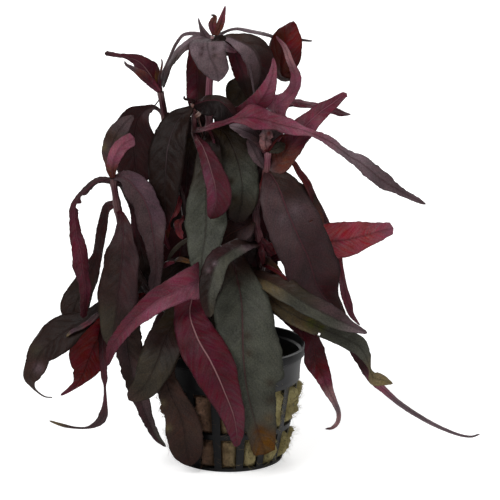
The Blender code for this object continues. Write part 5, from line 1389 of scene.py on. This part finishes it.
# Stage, light and camera
stagePlan = {"floorSize": 6.0, "floor": (0.82, 0.82, 0.82, 1), "lift": 0.55, "white": (1, 1, 1, 1),
             "fill": 0.16, "aim": (0, 0, 0.08), "sensor": 36, "farthest": 20}
lightPlan = {
    "key": dict(place=(-0.55, -0.75, 0.95), size=0.7, power=10),
    "side": dict(place=(0.85, -0.45, 0.5), size=0.6, power=2.5),
    "back": dict(place=(0.2, 0.9, 0.9), size=0.8, power=7),
    "rear": dict(place=(-0.5, 0.85, 0.25), size=0.8, power=3.5),
}


def showCamera(tree, others, camera, surface):  # the camera gets its own shader, and all other rays the first
    rays = addNode(tree, "LightPath")
    choice = addNode(tree, "MixShader")
    tree.links.new(rays.outputs["Is Camera Ray"], choice.inputs[0])
    tree.links.new(others, choice.inputs[1])
    tree.links.new(camera, choice.inputs[2])
    tree.links.new(choice.outputs[0], surface)


def makeFloor():
    clearSelection()
    bpy.ops.mesh.primitive_plane_add(size=stagePlan["floorSize"])
    floor = bpy.context.object
    floor.name = floor.data.name = "floor"
    material = bpy.data.materials.new("paleFloor")
    material.use_nodes = True
    tree = material.node_tree
    tree.nodes.clear()
    paper = addNode(tree, "BsdfDiffuse")
    paper.inputs["Color"].default_value = stagePlan["floor"]
    glow = addNode(tree, "Emission")
    glow.inputs["Strength"].default_value = stagePlan["lift"]
    both = addNode(tree, "AddShader")
    tree.links.new(paper.outputs[0], both.inputs[0])
    tree.links.new(glow.outputs[0], both.inputs[1])
    showCamera(tree, paper.outputs[0], both.outputs[0], addNode(tree, "OutputMaterial").inputs["Surface"])
    floor.data.materials.append(material)


def makeSky():
    world = bpy.data.worlds.new("studio")
    bpy.context.scene.world = world
    world.use_nodes = True
    tree = world.node_tree
    sky = tree.nodes["Background"]
    white = addNode(tree, "Background")
    sky.inputs["Color"].default_value = white.inputs["Color"].default_value = stagePlan["white"]
    sky.inputs["Strength"].default_value = stagePlan["fill"]
    showCamera(tree, sky.outputs[0], white.outputs[0], tree.nodes["World Output"].inputs["Surface"])


def makeLamps():
    for name, plan in lightPlan.items():
        data = bpy.data.lights.new(name, "AREA")
        data.size = plan["size"]
        data.energy = plan["power"]
        lamp = bpy.data.objects.new(name, data)
        bpy.context.scene.collection.objects.link(lamp)
        lamp.location = plan["place"]
        lamp.rotation_euler = (Vector(stagePlan["aim"]) - lamp.location).to_track_quat("-Z", "Y").to_euler()


def makeCamera():
    sinTilt, cosTilt = math.sin(view["tilt"]), math.cos(view["tilt"])
    data = bpy.data.cameras.new("camera")
    data.sensor_width = stagePlan["sensor"]
    data.lens = stagePlan["sensor"] * view["range"] / view["width"]
    data.clip_end = stagePlan["farthest"]
    camera = bpy.data.objects.new("camera", data)
    bpy.context.scene.collection.objects.link(camera)
    across, rise = view["middle"]
    target = Vector((across, rise * sinTilt, rise * cosTilt))
    outwards = Vector((0, -cosTilt, sinTilt))
    camera.location = (target + outwards * view["range"]) * mm
    camera.rotation_euler = (-outwards).to_track_quat("-Z", "Y").to_euler()
    bpy.context.scene.camera = camera
    bpy.context.scene.view_settings.view_transform = "Standard"


makeCamera()
makeFloor()
makeSky()
makeLamps()
print("camera and stage ready")
leafMaterials = makeLeafMaterials()
stemMaterial = makeStemMaterial()
regions = {"crown": crownLeaves, "left": leftLeaves, "centre": centreLeaves, "upper right": upperRightLeaves,
           "right": rightLeaves, "front": frontLeaves, "back": backLeaves, "small": smallLeaves}
for region, leaves in regions.items():
    for name, plan in leaves.items():
        growLeaf(name, plan, leafMaterials)
    print(region, "leaves grown:", len(leaves))
for name in stemPlans:
    growStem(name, stemMaterial)
print("stems grown")
makePot()
woolMaterial = makeWoolMaterial()
makeFibres(makeWool(woolMaterial), woolMaterial)
print("pot and rock wool made")

bpy.context.view_layer.update()
